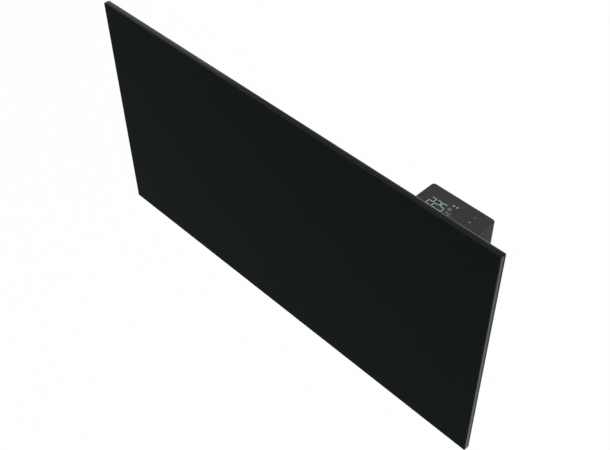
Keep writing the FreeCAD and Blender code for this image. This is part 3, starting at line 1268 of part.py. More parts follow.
def rail(x_rail):
    """An upright channel screwed to the wall, with hooked cheeks."""
    half = RAIL_WIDTH / 2
    base = box(x_rail - half, x_rail + half, -RAIL_SHEET, 0, Z_RAIL_BOTTOM, Z_RAIL_TOP)
    solid = joined([base, rail_cheek(x_rail - half), rail_cheek(x_rail + half - RAIL_SHEET)])
    tools = [
        hole_y(x_rail, z, WALL_SCREW_HOLE_RADIUS, -RAIL_SHEET, 0)
        for z in Z_WALL_SCREWS
    ]
    tools.append(hole_y(x_rail, Z_BUFFER, BUFFER_STEM_RADIUS + FIT_CLEARANCE, -RAIL_SHEET, 0))
    for x, z in catch_rivet_places(x_rail):
        tools.append(hole_y(x, z, RIVET_RADIUS + FIT_CLEARANCE, -RAIL_SHEET, 0))
    return cut_by(solid, tools)


def tie_bar():
    x_end = X_RAIL - RAIL_WIDTH / 2
    half = TIE_HEIGHT / 2
    return joined([
        box(-x_end, x_end, -RAIL_SHEET, 0, -half, half),
        box(-x_end, x_end, -TIE_FLANGE, 0, half - RAIL_SHEET, half),
        box(-x_end, x_end, -TIE_FLANGE, 0, -half, RAIL_SHEET - half),
    ])


def catch_spring(x_rail):
    """A leaf spring on a rail, with a nose that drops in front of the strike's lip and a ramp before it."""
    y_foot = -RAIL_SHEET - CATCH_SHEET / 2
    y_lip_front = Y_CHAMBER_BACK + STRIKE_TO_PANEL - STRIKE_SHEET / 2
    y_nose = y_lip_front - CATCH_TO_LIP - CATCH_SHEET / 2
    ramp = vec(0, -CATCH_RAMP_REACH, CATCH_RAMP_RISE).normalize()
    half_turn = vec(0, 0, -1).getAngle(ramp) / 2
    lowest = CATCH_BEND_RADIUS * math.tan(half_turn) - CATCH_BEND_RADIUS - CATCH_SHEET / 2
    z_tip = Z_SHELF + STRIKE_SHEET + CATCH_TO_SHELF - lowest
    path = [
        (y_foot, Z_CATCH - CATCH_FOOT),
        (y_foot, Z_CATCH),
        (y_nose, Z_CATCH),
        (y_nose, z_tip),
        (y_nose - CATCH_RAMP_REACH, z_tip + CATCH_RAMP_RISE),
    ]
    solid = bent_sheet(path, CATCH_SHEET, CATCH_BEND_RADIUS, x_rail, CATCH_WIDTH)
    return cut_by(solid, [
        hole_y(x, z, RIVET_RADIUS + FIT_CLEARANCE, -RAIL_SHEET - CATCH_SHEET, -RAIL_SHEET)
        for x, z in catch_rivet_places(x_rail)
    ])


def catch_rivets():
    y_seat = -RAIL_SHEET - CATCH_SHEET
    return Part.makeCompound([
        fastener(vec(x, y_seat, z), Y_AXIS, RIVET_RADIUS, RAIL_SHEET + CATCH_SHEET,
                 RIVET_HEAD_RADIUS, RIVET_HEAD_HEIGHT, False)
        for x_rail in X_RAILS
        for x, z in catch_rivet_places(x_rail)
    ])


def rest_buffer(x_rail):
    """A rubber post on a rail that the back panel leans on."""
    y_front = Y_CHAMBER_BACK + BUFFER_GAP
    post = rod(BUFFER_RADIUS, vec(x_rail, y_front, Z_BUFFER), Y_AXIS, -RAIL_SHEET - y_front)
    post = filleted(post, BUFFER_ROUNDING, lambda c: c.y < y_front + TINY)
    stem = rod(BUFFER_STEM_RADIUS, vec(x_rail, -RAIL_SHEET, Z_BUFFER), Y_AXIS, RAIL_SHEET)
    return joined([post, stem])


def rest_buffers():
    return Part.makeCompound([rest_buffer(x_rail) for x_rail in X_RAILS])


def sub_parts():
    """Every node of the heater and its shape."""
    makers = [
        glass_panel, bonding_strips, front_tray,
        back_panel, left_end_cap, right_end_cap, outlet_slats, inlet_slats, cap_screws, cap_rivets,
        heat_shield, element_fins, heating_rod, rod_insulators,
        left_element_bracket, right_element_bracket, thermal_cutout, cutout_bracket,
        neutral_lead, live_lead, cutout_lead, earth_lead, earth_stud, lead_bush,
        control_housing, control_lid, display_board, digit_module, touch_pads, radio_module,
        display_board_screws, power_board, power_board_screws, terminal_block, transformer, relay,
        capacitors, ribbon_cable, housing_screws, room_sensor, cable_gland, gland_nut,
        switch_body, switch_rocker, switch_leads,
        pivot_pins, hanger_rivets, tie_bar, catch_rivets, rest_buffers,
    ]
    shapes = {maker.__name__: maker() for maker in makers}
    for side, x_rail in zip(("left", "right"), X_RAILS):
        shapes[f"{side}_pivot_bracket"] = pivot_bracket(x_rail)
        shapes[f"{side}_strike"] = strike(x_rail)
        shapes[f"{side}_rail"] = rail(x_rail)
        shapes[f"{side}_catch_spring"] = catch_spring(x_rail)
    return shapes


os.makedirs("parts", exist_ok=True)
for node, shape in sub_parts().items():
    shape.exportStep(f"parts/{node}.step")
    print(node, "valid" if shape.isValid() else "not valid", len(shape.Solids), round(shape.Volume, 1))
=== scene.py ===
"""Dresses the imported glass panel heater: finishes, lit readout, rounded slats, fluted gland and studio."""

import json
import logging
import math
from dataclasses import dataclass
from enum import Enum
from functools import lru_cache
from typing import Any, ClassVar, Dict, List, Optional, Sequence, Tuple, Union

import bpy
import numpy as np
from mathutils import Matrix, Vector


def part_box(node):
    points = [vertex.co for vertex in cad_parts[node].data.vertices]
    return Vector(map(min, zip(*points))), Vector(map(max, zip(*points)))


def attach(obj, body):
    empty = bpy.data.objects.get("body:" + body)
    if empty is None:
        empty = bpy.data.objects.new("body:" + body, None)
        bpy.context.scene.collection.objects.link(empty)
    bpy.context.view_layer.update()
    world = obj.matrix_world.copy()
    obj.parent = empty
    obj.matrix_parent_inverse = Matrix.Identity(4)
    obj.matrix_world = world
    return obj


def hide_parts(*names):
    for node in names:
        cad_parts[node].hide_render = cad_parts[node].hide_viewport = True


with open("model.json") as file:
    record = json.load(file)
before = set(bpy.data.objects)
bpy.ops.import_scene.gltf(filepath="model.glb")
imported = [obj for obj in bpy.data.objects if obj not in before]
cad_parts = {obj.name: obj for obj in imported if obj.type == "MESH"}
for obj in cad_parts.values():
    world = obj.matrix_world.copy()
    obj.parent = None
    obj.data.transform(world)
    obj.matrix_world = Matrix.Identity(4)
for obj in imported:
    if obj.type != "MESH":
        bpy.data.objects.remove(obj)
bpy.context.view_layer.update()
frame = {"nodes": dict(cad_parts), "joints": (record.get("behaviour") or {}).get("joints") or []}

log = logging.getLogger("heater")

Colour = Tuple[float, float, float]
Point = Tuple[float, float, float]
Pair = Tuple[float, float]
Shell = Tuple[np.ndarray, List[List[int]]]
Material = bpy.types.Material
Node = bpy.types.Node
Piece = bpy.types.Object

# Places that the frame gives, in metres
GLASS_HALF_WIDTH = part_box("glass_panel")[1].x
GLASS_HALF_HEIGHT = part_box("glass_panel")[1].z
GLASS_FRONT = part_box("glass_panel")[0].y
TRAY_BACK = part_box("front_tray")[1].y
HOUSING_LOW, HOUSING_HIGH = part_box("control_housing")
LID_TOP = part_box("control_lid")[1].z
ROCKER_PIVOT = next(joint["pos_m"] for joint in frame["joints"] if joint["name"] == "switch_rock")

WHITE: Colour = (1.0, 1.0, 1.0)
CLOSED = 360.0


class Axis(Enum):
    """The direction in which a drawn or rolled surface was worked."""

    X = (1.0, 30.0, 30.0)
    Z = (30.0, 30.0, 1.0)


class Digit(Enum):
    """Lit bars of a figure: top, upper right, lower right, bottom, lower left, upper left, middle."""

    TWO = (1, 1, 0, 1, 1, 0, 1)
    FIVE = (1, 0, 1, 1, 0, 1, 1)


# Material graphs

class Sock:
    """A number in a material graph whose arithmetic adds Math nodes."""

    def __init__(self, graph: "Graph", socket: bpy.types.NodeSocket) -> None:
        self.graph = graph
        self.socket = socket

    def __add__(self, other: "Number") -> "Sock":
        return self.graph.math("ADD", self, other)

    def __sub__(self, other: "Number") -> "Sock":
        return self.graph.math("SUBTRACT", self, other)

    def __rsub__(self, other: "Number") -> "Sock":
        return self.graph.math("SUBTRACT", other, self)

    def __mul__(self, other: "Number") -> "Sock":
        return self.graph.math("MULTIPLY", self, other)

    def __abs__(self) -> "Sock":
        return self.graph.math("ABSOLUTE", self)

    def most(self, other: "Number") -> "Sock":
        """The larger of two numbers."""
        return self.graph.math("MAXIMUM", self, other)

    def sine(self) -> "Sock":
        """The sine of an angle in radians."""
        return self.graph.math("SINE", self)

    def ramp(self, low: float, high: float) -> "Sock":
        """A smooth step from 0 at low to 1 at high."""
        inputs = {"Value": self, "From Min": low, "From Max": high}
        return self.graph.value("ShaderNodeMapRange", {"interpolation_type": "SMOOTHSTEP"}, inputs, "Result")

    def shared(self, other: "Sock", part: float) -> "Sock":
        """This number for a part and another for the rest."""
        return self * part + other * (1.0 - part)


Number = Union[float, Sock]


class Graph:
    """The node graph of a material or of the world.

    Attributes:
        place: the point on the surface in the piece's own frame, or the direction in the world.
    """

    def __init__(self, owner: Union[Material, bpy.types.World], coordinates: str = "Object") -> None:
        self.owner = owner
        owner.use_nodes = True
        self.tree = owner.node_tree
        self.tree.nodes.clear()
        self.place = self.value("ShaderNodeTexCoord", {}, {}, coordinates)

    def node(self, kind: str, settings: Dict[str, Any], inputs: Dict[Any, Any]) -> Node:
        """Adds any node, with its properties and then its sockets, each of them a constant or a Sock."""
        made = self.tree.nodes.new(kind)
        for key, value in settings.items():
            setattr(made, key, value)
        for key, value in inputs.items():
            if isinstance(value, Sock):
                self.tree.links.new(value.socket, made.inputs[key])
            else:
                made.inputs[key].default_value = value
        return made

    def value(self, kind: str, settings: Dict[str, Any], inputs: Dict[Any, Any], output: Any = 0) -> Sock:
        """One output of a new node, by name or number."""
        return Sock(self, self.node(kind, settings, inputs).outputs[output])

    def math(self, operation: str, *values: Number) -> Sock:
        """A Math node over one or two numbers."""
        return self.value("ShaderNodeMath", {"operation": operation}, dict(enumerate(values)))

    def ray(self, kind: str) -> Sock:
        """1 for a ray of this kind, else 0."""
        return self.value("ShaderNodeLightPath", {}, {}, f"Is {kind} Ray")

    def parts(self, vector: Sock) -> List[Sock]:
        """The three numbers of a vector."""
        made = self.node("ShaderNodeSeparateXYZ", {}, {0: vector})
        return [Sock(self, output) for output in made.outputs]

    def axes(self) -> List[Sock]:
        """The place's three numbers: across to the right, back towards the wall, and up."""
        return self.parts(self.place)

    def noise(self, scale: float, detail: float = 3.0, stretch: Optional[Point] = None,
              output: Any = 0) -> Sock:
        """Smooth noise from 0 to 1 with so many cells per metre, or more of them along a stretched axis."""
        vector = self.place
        if stretch:
            vector = self.value("ShaderNodeVectorMath", {"operation": "MULTIPLY"}, {0: vector, 1: stretch})
        inputs = {"Vector": vector, "Scale": scale, "Detail": detail}
        return self.value("ShaderNodeTexNoise", {}, inputs, output)

    def cells(self, scale: float, vector: Optional[Sock] = None) -> Sock:
        """A random number from 0 to 1 for each crystal-like cell."""
        inputs = {"Vector": vector or self.place, "Scale": scale}
        return self.parts(self.value("ShaderNodeTexVoronoi", {}, inputs, "Color"))[0]

    def mixed(self, factor: Number, first: Any, second: Any) -> Sock:
        """A colour between two colours."""
        return self.value("ShaderNodeMix", {"data_type": "RGBA"}, {0: factor, 6: first, 7: second}, 2)

    def varied(self, factor: Sock, colour: Colour, dark: float, pale: float) -> Sock:
        """A colour that goes from a dark to a pale gain of itself."""
        return self.mixed(factor, solid(colour, dark), solid(colour, pale))

    def bump(self, height: Sock, depth: float, edge: float) -> Sock:
        """A normal from a height of 0 to 1 that stands for so many metres, over slightly eased edges."""
        eased = self.value("ShaderNodeBevel", {"samples": 4}, {"Radius": edge})
        return self.value("ShaderNodeBump", {}, {"Height": height, "Distance": depth, "Normal": eased})

    def shade(self, inputs: Dict[str, Any]) -> Node:
        """The surface shader with these sockets."""
        return self.node("ShaderNodeBsdfPrincipled", {}, inputs)

    def blend(self, factor: Sock, first: Node, second: Node) -> Node:
        """A mix of two shaders: the first where the factor is 0, the second where it is 1."""
        made = self.node("ShaderNodeMixShader", {}, {0: factor})
        self.tree.links.new(first.outputs[0], made.inputs[1])
        self.tree.links.new(second.outputs[0], made.inputs[2])
        return made

    def end(self, shader: Node, output: str = "ShaderNodeOutputMaterial") -> Any:
        """Joins a shader to the output and returns the graph's owner."""
        out = self.node(output, {}, {})
        self.tree.links.new(shader.outputs[0], out.inputs["Surface"])
        return self.owner


def solid(colour: Sequence[float], gain: float = 1.0, cast: Colour = WHITE) -> Tuple[float, ...]:
    """A colour with full alpha, made lighter or darker by a gain and tinted by a cast."""
    return (*(part * gain * share for part, share in zip(colour, cast)), 1.0)


# Finishes

@dataclass(frozen=True)
class Finish:
    """A plain coated or moulded surface: its tint drifts, its gloss is patchy and its grain is fine.

    Lengths are in metres, and patterns are counted in cells per metre.

    Attributes:
        colour: base colour, linear.
        specular: strength of the mirror-like part, 0.5 for most solids.
        grain: cells of the fine relief.
        depth: height of that relief.
        edge: radius that corners seem to have.
        drift: cells of the slow drift of tint.
        slow: share of that drift, with fine flecks for the rest.
        fleck: cells of the flecks for each cell of the grain.
        dark: gain of the darkest tint, as pale is of the palest.
        patches: cells of the patchy gloss.
        uneven: whole range of the roughness.
    """

    name: str
    colour: Colour
    roughness: float = 0.5
    specular: float = 0.5
    metallic: float = 0.0
    grain: float = 2500.0
    depth: float = 0.00004
    edge: float = 0.0004
    drift: float = 9.0
    slow: float = 0.7
    fleck: float = 0.6
    dark: float = 0.86
    pale: float = 1.14
    patches: float = 35.0
    uneven: float = 0.16

    def start(self) -> Graph:
        """An empty graph for the material."""
        return Graph(bpy.data.materials.new(self.name))

    def tint(self, graph: Graph) -> Sock:
        """Base colour: a slow drift with fine flecks."""
        drift = graph.noise(self.drift).shared(graph.noise(self.grain * self.fleck), self.slow)
        return graph.varied(drift, self.colour, self.dark, self.pale)

    def level(self, graph: Graph) -> Sock:
        """Where the surface is duller, from 0 to 1: soft patches a few centimetres wide."""
        return graph.noise(self.patches, 4.0)

    def gloss(self, graph: Graph) -> Sock:
        """Roughness, which goes to both sides of its mean."""
        return (self.level(graph) - 0.5) * self.uneven + self.roughness

    def relief(self, graph: Graph) -> Sock:
        """Height of the fine grain, from 0 to 1."""
        return graph.noise(self.grain, 2.0)

    def sockets(self, graph: Graph) -> Dict[str, Any]:
        """What goes into the surface shader."""
        return {
            "Base Color": self.tint(graph),
            "Roughness": self.gloss(graph),
            "Normal": graph.bump(self.relief(graph), self.depth, self.edge),
            "Metallic": self.metallic,
            "Specular IOR Level": self.specular,
        }

    def build(self) -> Material:
        """Makes the material."""
        graph = self.start()
        return graph.end(graph.shade(self.sockets(graph)))


@dataclass(frozen=True)
class PowderCoat(Finish):
    """Baked powder paint: a fine grain over the long waves of orange peel."""

    peel: float = 480.0
    grain_share: float = 0.4

    def relief(self, graph: Graph) -> Sock:
        """Grain of four tenths of a millimetre on waves of two millimetres."""
        return super().relief(graph).shared(graph.noise(self.peel, 1.0), self.grain_share)


@dataclass(frozen=True)
class FoldedCoat(PowderCoat):
    """Powder paint on the folded tray: glossier along its top and bottom, with painted light that makes its
    top and bottom paler than its sides and a painted highlight along the fold behind.

    Each pair says where something starts and where it is full: rim from the glass's outline, the painted
    highlight's span along the panel towards the control box, and the others from the fold.

    Attributes:
        upper: colour along the top and bottom, painted light that makes them paler than the sides.
        rubbed: colour of the painted highlight along the fold.
        inside: colour of the flat back.
        fold: where the back of the fold lies.
        highlight_share_elsewhere: share of the painted highlight away from the control box.
        sheen: weight of the gloss.
    """

    # Painted light: the top and bottom are paler than the sides, and the fold has a painted highlight.
    upper: Colour = (0.0200, 0.0209, 0.0206)
    rubbed: Colour = (0.142, 0.147, 0.145)
    inside: Colour = (0.021, 0.0215, 0.022)
    fold: float = TRAY_BACK
    rim: Pair = (-0.0022, -0.0012)
    line: Pair = (-0.0021, -0.00105)
    sheen_ramp: Pair = (-0.0012, -0.0028)
    back: Pair = (-0.0003, -0.0001)
    highlight_span: Pair = (0.02, 0.26)
    highlight_share_elsewhere: float = 0.15
    highlight_breakup_cells: float = 30.0
    highlight_breakup_stretch: Point = (1.0, 6.0, 6.0)
    sheen: float = 0.22
    sheen_roughness: float = 0.12

    def outline(self, height: Sock) -> Sock:
        """1 along the top and bottom of the tray, else 0."""
        return (abs(height) - GLASS_HALF_HEIGHT).ramp(*self.rim)

    def sockets(self, graph: Graph) -> Dict[str, Any]:
        """The powder paint with a gloss along its top and bottom, short of the fold."""
        depth, height = graph.axes()[1:]
        gloss = (depth - self.fold).ramp(*self.sheen_ramp) * self.outline(height)
        coat = {"Coat Weight": gloss * self.sheen, "Coat Roughness": self.sheen_roughness}
        return {**super().sockets(graph), **coat}

    def tint(self, graph: Graph) -> Sock:
        """The drifting colour, with painted light: paler along the top and bottom, and a painted highlight at
        the fold, brightest by the control box.
        """
        across, depth, height = graph.axes()
        rim = self.outline(height)
        behind = depth - self.fold
        # The painted highlight along the fold is strongest by the control box and broken up by noise.
        highlight_along = across.ramp(*self.highlight_span) * (1.0 - self.highlight_share_elsewhere) + self.highlight_share_elsewhere
        highlight_breakup = graph.noise(self.highlight_breakup_cells, 4.0, self.highlight_breakup_stretch).ramp(0.15, 0.55) * 0.5 + 0.5
        painted = graph.mixed(rim, super().tint(graph), solid(self.upper))
        plain = graph.mixed(behind.ramp(*self.back), painted, solid(self.inside))
        return graph.mixed(behind.ramp(*self.line) * rim * highlight_along * highlight_breakup, plain, solid(self.rubbed))


@dataclass(frozen=True)
class Moulding(Finish):
    """Moulded plastic with a spark-eroded grain and painted shade in a line where the lid meets the housing.
    """

    seam: float = HOUSING_HIGH.z
    line: Pair = (0.00035, 0.00012)
    seam_shade_gain: float = 0.12

    def tint(self, graph: Graph) -> Sock:
        """The drifting colour, with painted shade near the seam."""
        # Painted shade: a dark line along the seam between lid and housing.
        line = abs(graph.axes()[2] - self.seam).ramp(*self.line)
        return graph.mixed(line, super().tint(graph), solid(self.colour, self.seam_shade_gain))


@dataclass(frozen=True)
class Plating(Finish):
    """Zinc plate or brass: faint crystals that differ in tint and gloss, with soft clouds over them."""

    metallic: float = 1.0
    uneven: float = 0.14
    crystals: float = 700.0
    clouds: float = 60.0
    cold: Colour = (0.86, 0.92, 1.02)
    warm: Colour = (1.08, 1.04, 0.92)

    def tint(self, graph: Graph) -> Sock:
        """Crystals with a breath of blue and yellow."""
        crystal = graph.cells(self.crystals).shared(graph.noise(self.clouds), 0.5)
        return graph.mixed(crystal, solid(self.colour, cast=self.cold), solid(self.colour, cast=self.warm))

    def level(self, graph: Graph) -> Sock:
        """Each crystal a little duller or brighter."""
        return graph.cells(self.crystals)


@dataclass(frozen=True)
class Galvanised(Plating):
    """Hot-dipped zinc: broad feathered spangles with smaller ones between them, and a few rubbed streaks.

    Attributes:
        smaller: small spangles along a broad one.
        feathers: cells along a broad one that feather its border.
        shake: how far they do.
        polish: how much smoother a streak is.
    """

    uneven: float = 0.22
    pale: float = 1.22
    shadow: Colour = (0.70, 0.73, 0.78)
    spangles: float = 95.0
    broad_share: float = 0.65
    smaller: float = 2.7
    feathers: float = 4.0
    shake: float = 0.004
    streaks: float = 12.0
    streak_stretch: Point = (60.0, 60.0, 3.0)
    polish: float = 0.08

    def level(self, graph: Graph) -> Sock:
        """A number from 0 to 1 for each spangle, with feathered borders because the place is shaken."""
        shake = graph.noise(self.spangles * self.feathers, output="Color")
        inputs = {0: shake, 1: (self.shake, self.shake, self.shake), 2: graph.place}
        shaken = graph.value("ShaderNodeVectorMath", {"operation": "MULTIPLY_ADD"}, inputs)
        small = graph.cells(self.spangles * self.smaller, shaken)
        return graph.cells(self.spangles, shaken).shared(small, self.broad_share)

    def tint(self, graph: Graph) -> Sock:
        """Grey spangles from dark to pale, with a breath of blue in the dark ones."""
        shadow = solid(self.colour, cast=self.shadow)
        return graph.mixed(self.level(graph), shadow, solid(self.colour, self.pale))

    def gloss(self, graph: Graph) -> Sock:
        """Duller and brighter spangles, with streaks along the length where the sheet was rubbed."""
        streak = graph.noise(self.streaks, 4.0, self.streak_stretch).ramp(0.55, 0.75)
        return super().gloss(graph) - streak * self.polish


@dataclass(frozen=True)
class Drawn(Finish):
    """Rolled or drawn metal whose tint, gloss and relief follow fine lines along one axis."""

    metallic: float = 1.0
    uneven: float = 0.24
    dark: float = 0.78
    pale: float = 1.18
    lines: float = 90.0
    along: Axis = Axis.X

    def level(self, graph: Graph) -> Sock:
        """Noise drawn out along the axis."""
        return graph.noise(self.lines, 5.0, self.along.value)

    def tint(self, graph: Graph) -> Sock:
        """Colour that follows the lines."""
        return graph.varied(self.level(graph), self.colour, self.dark, self.pale)

    def relief(self, graph: Graph) -> Sock:
        """Height that follows the lines."""
        return self.level(graph)


@dataclass(frozen=True)
class Tempered(Drawn):
    """Steel coloured by heat, in straw, brown and blue bands along its length.

    Attributes:
        bands: radians of the bands per metre.
        bends: cells of their wandering.
        wander: how far they wander, in radians.
    """

    bands: float = 70.0
    bends: float = 14.0
    wander: float = 5.0
    straw: Colour = (1.5, 1.2, 0.7)
    blue: Colour = (0.7, 0.8, 1.3)

    def tint(self, graph: Graph) -> Sock:
        """Bands of heat colour a few centimetres long."""
        phase = graph.axes()[0] * self.bands + graph.noise(self.bends) * self.wander
        wave = phase.sine() * 0.5 + 0.5
        return graph.mixed(wave, solid(self.colour, cast=self.straw), solid(self.colour, cast=self.blue))


@dataclass(frozen=True)
class Sleeve(Finish):
    """Wire insulation, with a second colour in a slow twist where it has one.

    Attributes:
        twist: radians of the twist per metre along each axis.
        blur: softness of the border between the colours.
    """

    stripe: Colour = (0.0, 0.0, 0.0)
    striped: bool = False
    twist: Point = (420.0, 900.0, 900.0)
    blur: float = 0.1

    def tint(self, graph: Graph) -> Sock:
        """The first colour, or two colours that wind round the wire."""
        plain = super().tint(graph)
        if not self.striped:
            return plain
        across, depth, height = graph.axes()
        phase = across * self.twist[0] + height * self.twist[2] + depth * self.twist[1]
        return graph.mixed(phase.sine().ramp(-self.blur, self.blur), plain, solid(self.stripe))


@dataclass(frozen=True)
class Laminate(Finish):
    """A circuit board: green mask over fine copper tracks, which take so many radians per metre."""

    up_tracks: float = 2400.0
    cross_tracks: float = 1700.0
    routed: float = 130.0
    shine: float = 1.9

    def tint(self, graph: Graph) -> Sock:
        """Mask colour with lighter lines where tracks run below it."""
        across, depth, height = graph.axes()
        first = (across * self.up_tracks).sine().ramp(0.55, 0.75)
        second = ((height + depth) * self.cross_tracks).sine().ramp(0.6, 0.8)
        track = first.most(second) * graph.noise(self.routed).ramp(0.45, 0.5)
        return graph.varied(track, self.colour, 1.0, self.shine)


@dataclass(frozen=True)
class FlatCable(Finish):
    """Ribbon cable: parallel cores across the width."""

    core_pitch: float = 0.00127

    def relief(self, graph: Graph) -> Sock:
        """One rounded ridge per core."""
        return abs((graph.axes()[0] * (math.pi / self.core_pitch)).sine())


@dataclass(frozen=True)
class BackedGlass(Finish):
    """Glass with black enamel on its back: a polished face with a faint float wave, and satin ground edges,
    painted paler at the sides and darker at the top and bottom as painted light and shade.

    The ground edges reach in from the outline by their insets. The sides are left and right, and the top
    stands for top and bottom, with a polish that is full at the back of the glass.

    Attributes:
        border: half of the soft border between face and edge.
        haze: range of the face's roughness.
        polish_ramp: where the polish on the top starts and is full, from the front of the glass.
    """

    # Painted light and shade: the ground edge is paler at the sides and darker at the top and bottom.
    side_painted_light_colour: Colour = (0.0248, 0.0285, 0.0276)
    top_painted_shade_colour: Colour = (0.0130, 0.0142, 0.0142)
    side_inset: float = 0.0008
    top_inset: float = 0.0004
    border: float = 0.00012
    haze: float = 0.05
    haze_dark: float = 0.93
    haze_pale: float = 1.07
    grinding: float = 420.0
    grind_stretch: Point = (1.0, 9.0, 1.0)
    edge_roughness: float = 0.26
    edge_specular: float = 0.03
    side_polish: float = 0.22
    top_polish: float = 0.14
    polish_ramp: Pair = (0.002, 0.006)
    polish_roughness: float = 0.12

    def build(self) -> Material:
        """Makes the material: a polished face and ground edges, mixed by the distance from the outline."""
        graph = self.start()
        across, depth, height = graph.axes()
        side = (abs(across) - (GLASS_HALF_WIDTH - self.side_inset)).ramp(-self.border, self.border)
        top = (abs(height) - (GLASS_HALF_HEIGHT - self.top_inset)).ramp(-self.border, self.border)
        haze = graph.noise(5.0, 2.0).shared(graph.noise(70.0, 4.0), 0.6)
        wave = graph.bump(graph.noise(self.grain, 1.0), self.depth, self.edge)
        face = graph.shade({
            "Base Color": graph.varied(haze, self.colour, self.haze_dark, self.haze_pale),
            "Roughness": haze * self.haze + self.roughness,
            "Normal": wave,
            "Specular IOR Level": self.specular,
        })
        grind = graph.noise(self.grinding, 4.0, self.grind_stretch)
        # The ground edges, with painted light at the sides and painted shade at the top and bottom.
        ground_side_painted_light = graph.varied(grind, self.side_painted_light_colour, self.dark, self.pale)
        ground_top_painted_shade = graph.varied(grind, self.top_painted_shade_colour, self.dark, self.pale)
        top_polish = top * ((depth - GLASS_FRONT).ramp(*self.polish_ramp) * self.top_polish)
        edge = graph.shade({
            "Base Color": graph.mixed(side, ground_top_painted_shade, ground_side_painted_light),
            "Roughness": grind * self.uneven + self.edge_roughness,
            "Normal": wave,
            "Specular IOR Level": self.edge_specular,
            "Coat Weight": side * self.side_polish + top_polish,
            "Coat Roughness": self.polish_roughness,
        })
        return graph.end(graph.blend(side.most(top), face, edge))


@dataclass(frozen=True)
class Glow(Finish):
    """A mark lit from below, a little uneven like a row of small lamps, and dim in its own colour."""

    strength: float = 1.0
    dark: float = 0.9
    pale: float = 1.05
    lamps: float = 420.0
    unlit: float = 0.3

    def build(self) -> Material:
        """Makes the material, with the colour in its emission."""
        graph = self.start()
        shader = graph.shade({
            "Base Color": solid(self.colour, self.unlit),
            "Roughness": self.gloss(graph),
            "Emission Color": graph.varied(graph.noise(self.lamps, 1.0), self.colour, self.dark, self.pale),
            "Emission Strength": self.strength,
        })
        return graph.end(shader)


FINISHES: Dict[str, Finish] = {finish.name: finish for finish in (
    BackedGlass("black_glass", (0.0018, 0.0046, 0.0053), 0.06, grain=60.0, depth=0.000002, edge=0.0003),
    Finish("silicone", (0.030, 0.030, 0.030), 0.55),
    FoldedCoat("tray_paint", (0.0130, 0.0136, 0.0134), 0.44, 0.03),
    PowderCoat("chamber_paint", (0.034, 0.035, 0.036), 0.46),
    PowderCoat("slat_paint", (0.026, 0.026, 0.027), 0.38),
    Plating("zinc_steel", (0.42, 0.43, 0.44), 0.34),
    Galvanised("bracket_steel", (0.34, 0.35, 0.36), 0.44),
    Drawn("spring_steel", (0.20, 0.22, 0.27), 0.30, along=Axis.Z),
    Drawn("aluminium", (0.62, 0.63, 0.64), 0.34),
    Tempered("rod_steel", (0.22, 0.21, 0.20), 0.36),
    Finish("ceramic", (0.80, 0.77, 0.70), 0.72, 0.4, grain=1800.0),
    Sleeve("live_wire", (0.16, 0.06, 0.03), 0.42),
    Sleeve("neutral_wire", (0.03, 0.08, 0.30), 0.42),
    Sleeve("earth_wire", (0.05, 0.26, 0.05), 0.42, stripe=(0.62, 0.55, 0.04), striped=True),
    Moulding("control_plastic", (0.0130, 0.0137, 0.0135), 0.55, 0.15, grain=5200.0, depth=0.00003),
    Moulding("lid_plastic", (0.0195, 0.0200, 0.0199), 0.44, 0.20, grain=5200.0, depth=0.00001),
    Laminate("board", (0.02, 0.14, 0.06), 0.38),
    Finish("component", (0.030, 0.030, 0.030), 0.48),
    Finish("relay_case", (0.05, 0.10, 0.30), 0.36),
    Finish("terminal_plastic", (0.06, 0.22, 0.10), 0.44),
    Drawn("can", (0.55, 0.56, 0.58), 0.32, along=Axis.Z),
    FlatCable("ribbon", (0.50, 0.50, 0.50), 0.52, depth=0.0003),
    Finish("rubber", (0.025, 0.025, 0.025), 0.70, 0.4, grain=3200.0),
    Plating("brass", (0.60, 0.44, 0.18), 0.30),
    Finish("switch_plastic", (0.020, 0.020, 0.020), 0.32, grain=4200.0, depth=0.00001),
    Glow("lit_mark", (0.52, 0.71, 0.76), 0.42, strength=0.48),
    Glow("unit_mark", (0.36, 0.45, 0.475), 0.45, strength=0.36),
    Glow("lamp_mark", (0.37, 0.38, 0.375), 0.45, strength=0.36),
    Glow("dim_mark", (0.25, 0.275, 0.281), 0.45, strength=0.36),
    Glow("faint_mark", (0.090, 0.096, 0.097), 0.45, strength=0.30),
    Finish("printed_mark", (0.70, 0.71, 0.71), 0.5, grain=4000.0, depth=0.00001),
)}


@lru_cache(maxsize=None)
def material(finish: str) -> Material:
    """The material of a finish, which is made once."""
    return FINISHES[finish].build()


# Surfaces

def around(count: int) -> np.ndarray:
    """So many even angles round a full turn, in radians."""
    return np.linspace(0.0, 2.0 * math.pi, count, endpoint=False)


def joined(across: Any, deep: Any, high: Any) -> np.ndarray:
    """Points from three arrays of coordinates, each spread over the others."""
    return np.stack(np.broadcast_arrays(across, deep, high), -1)


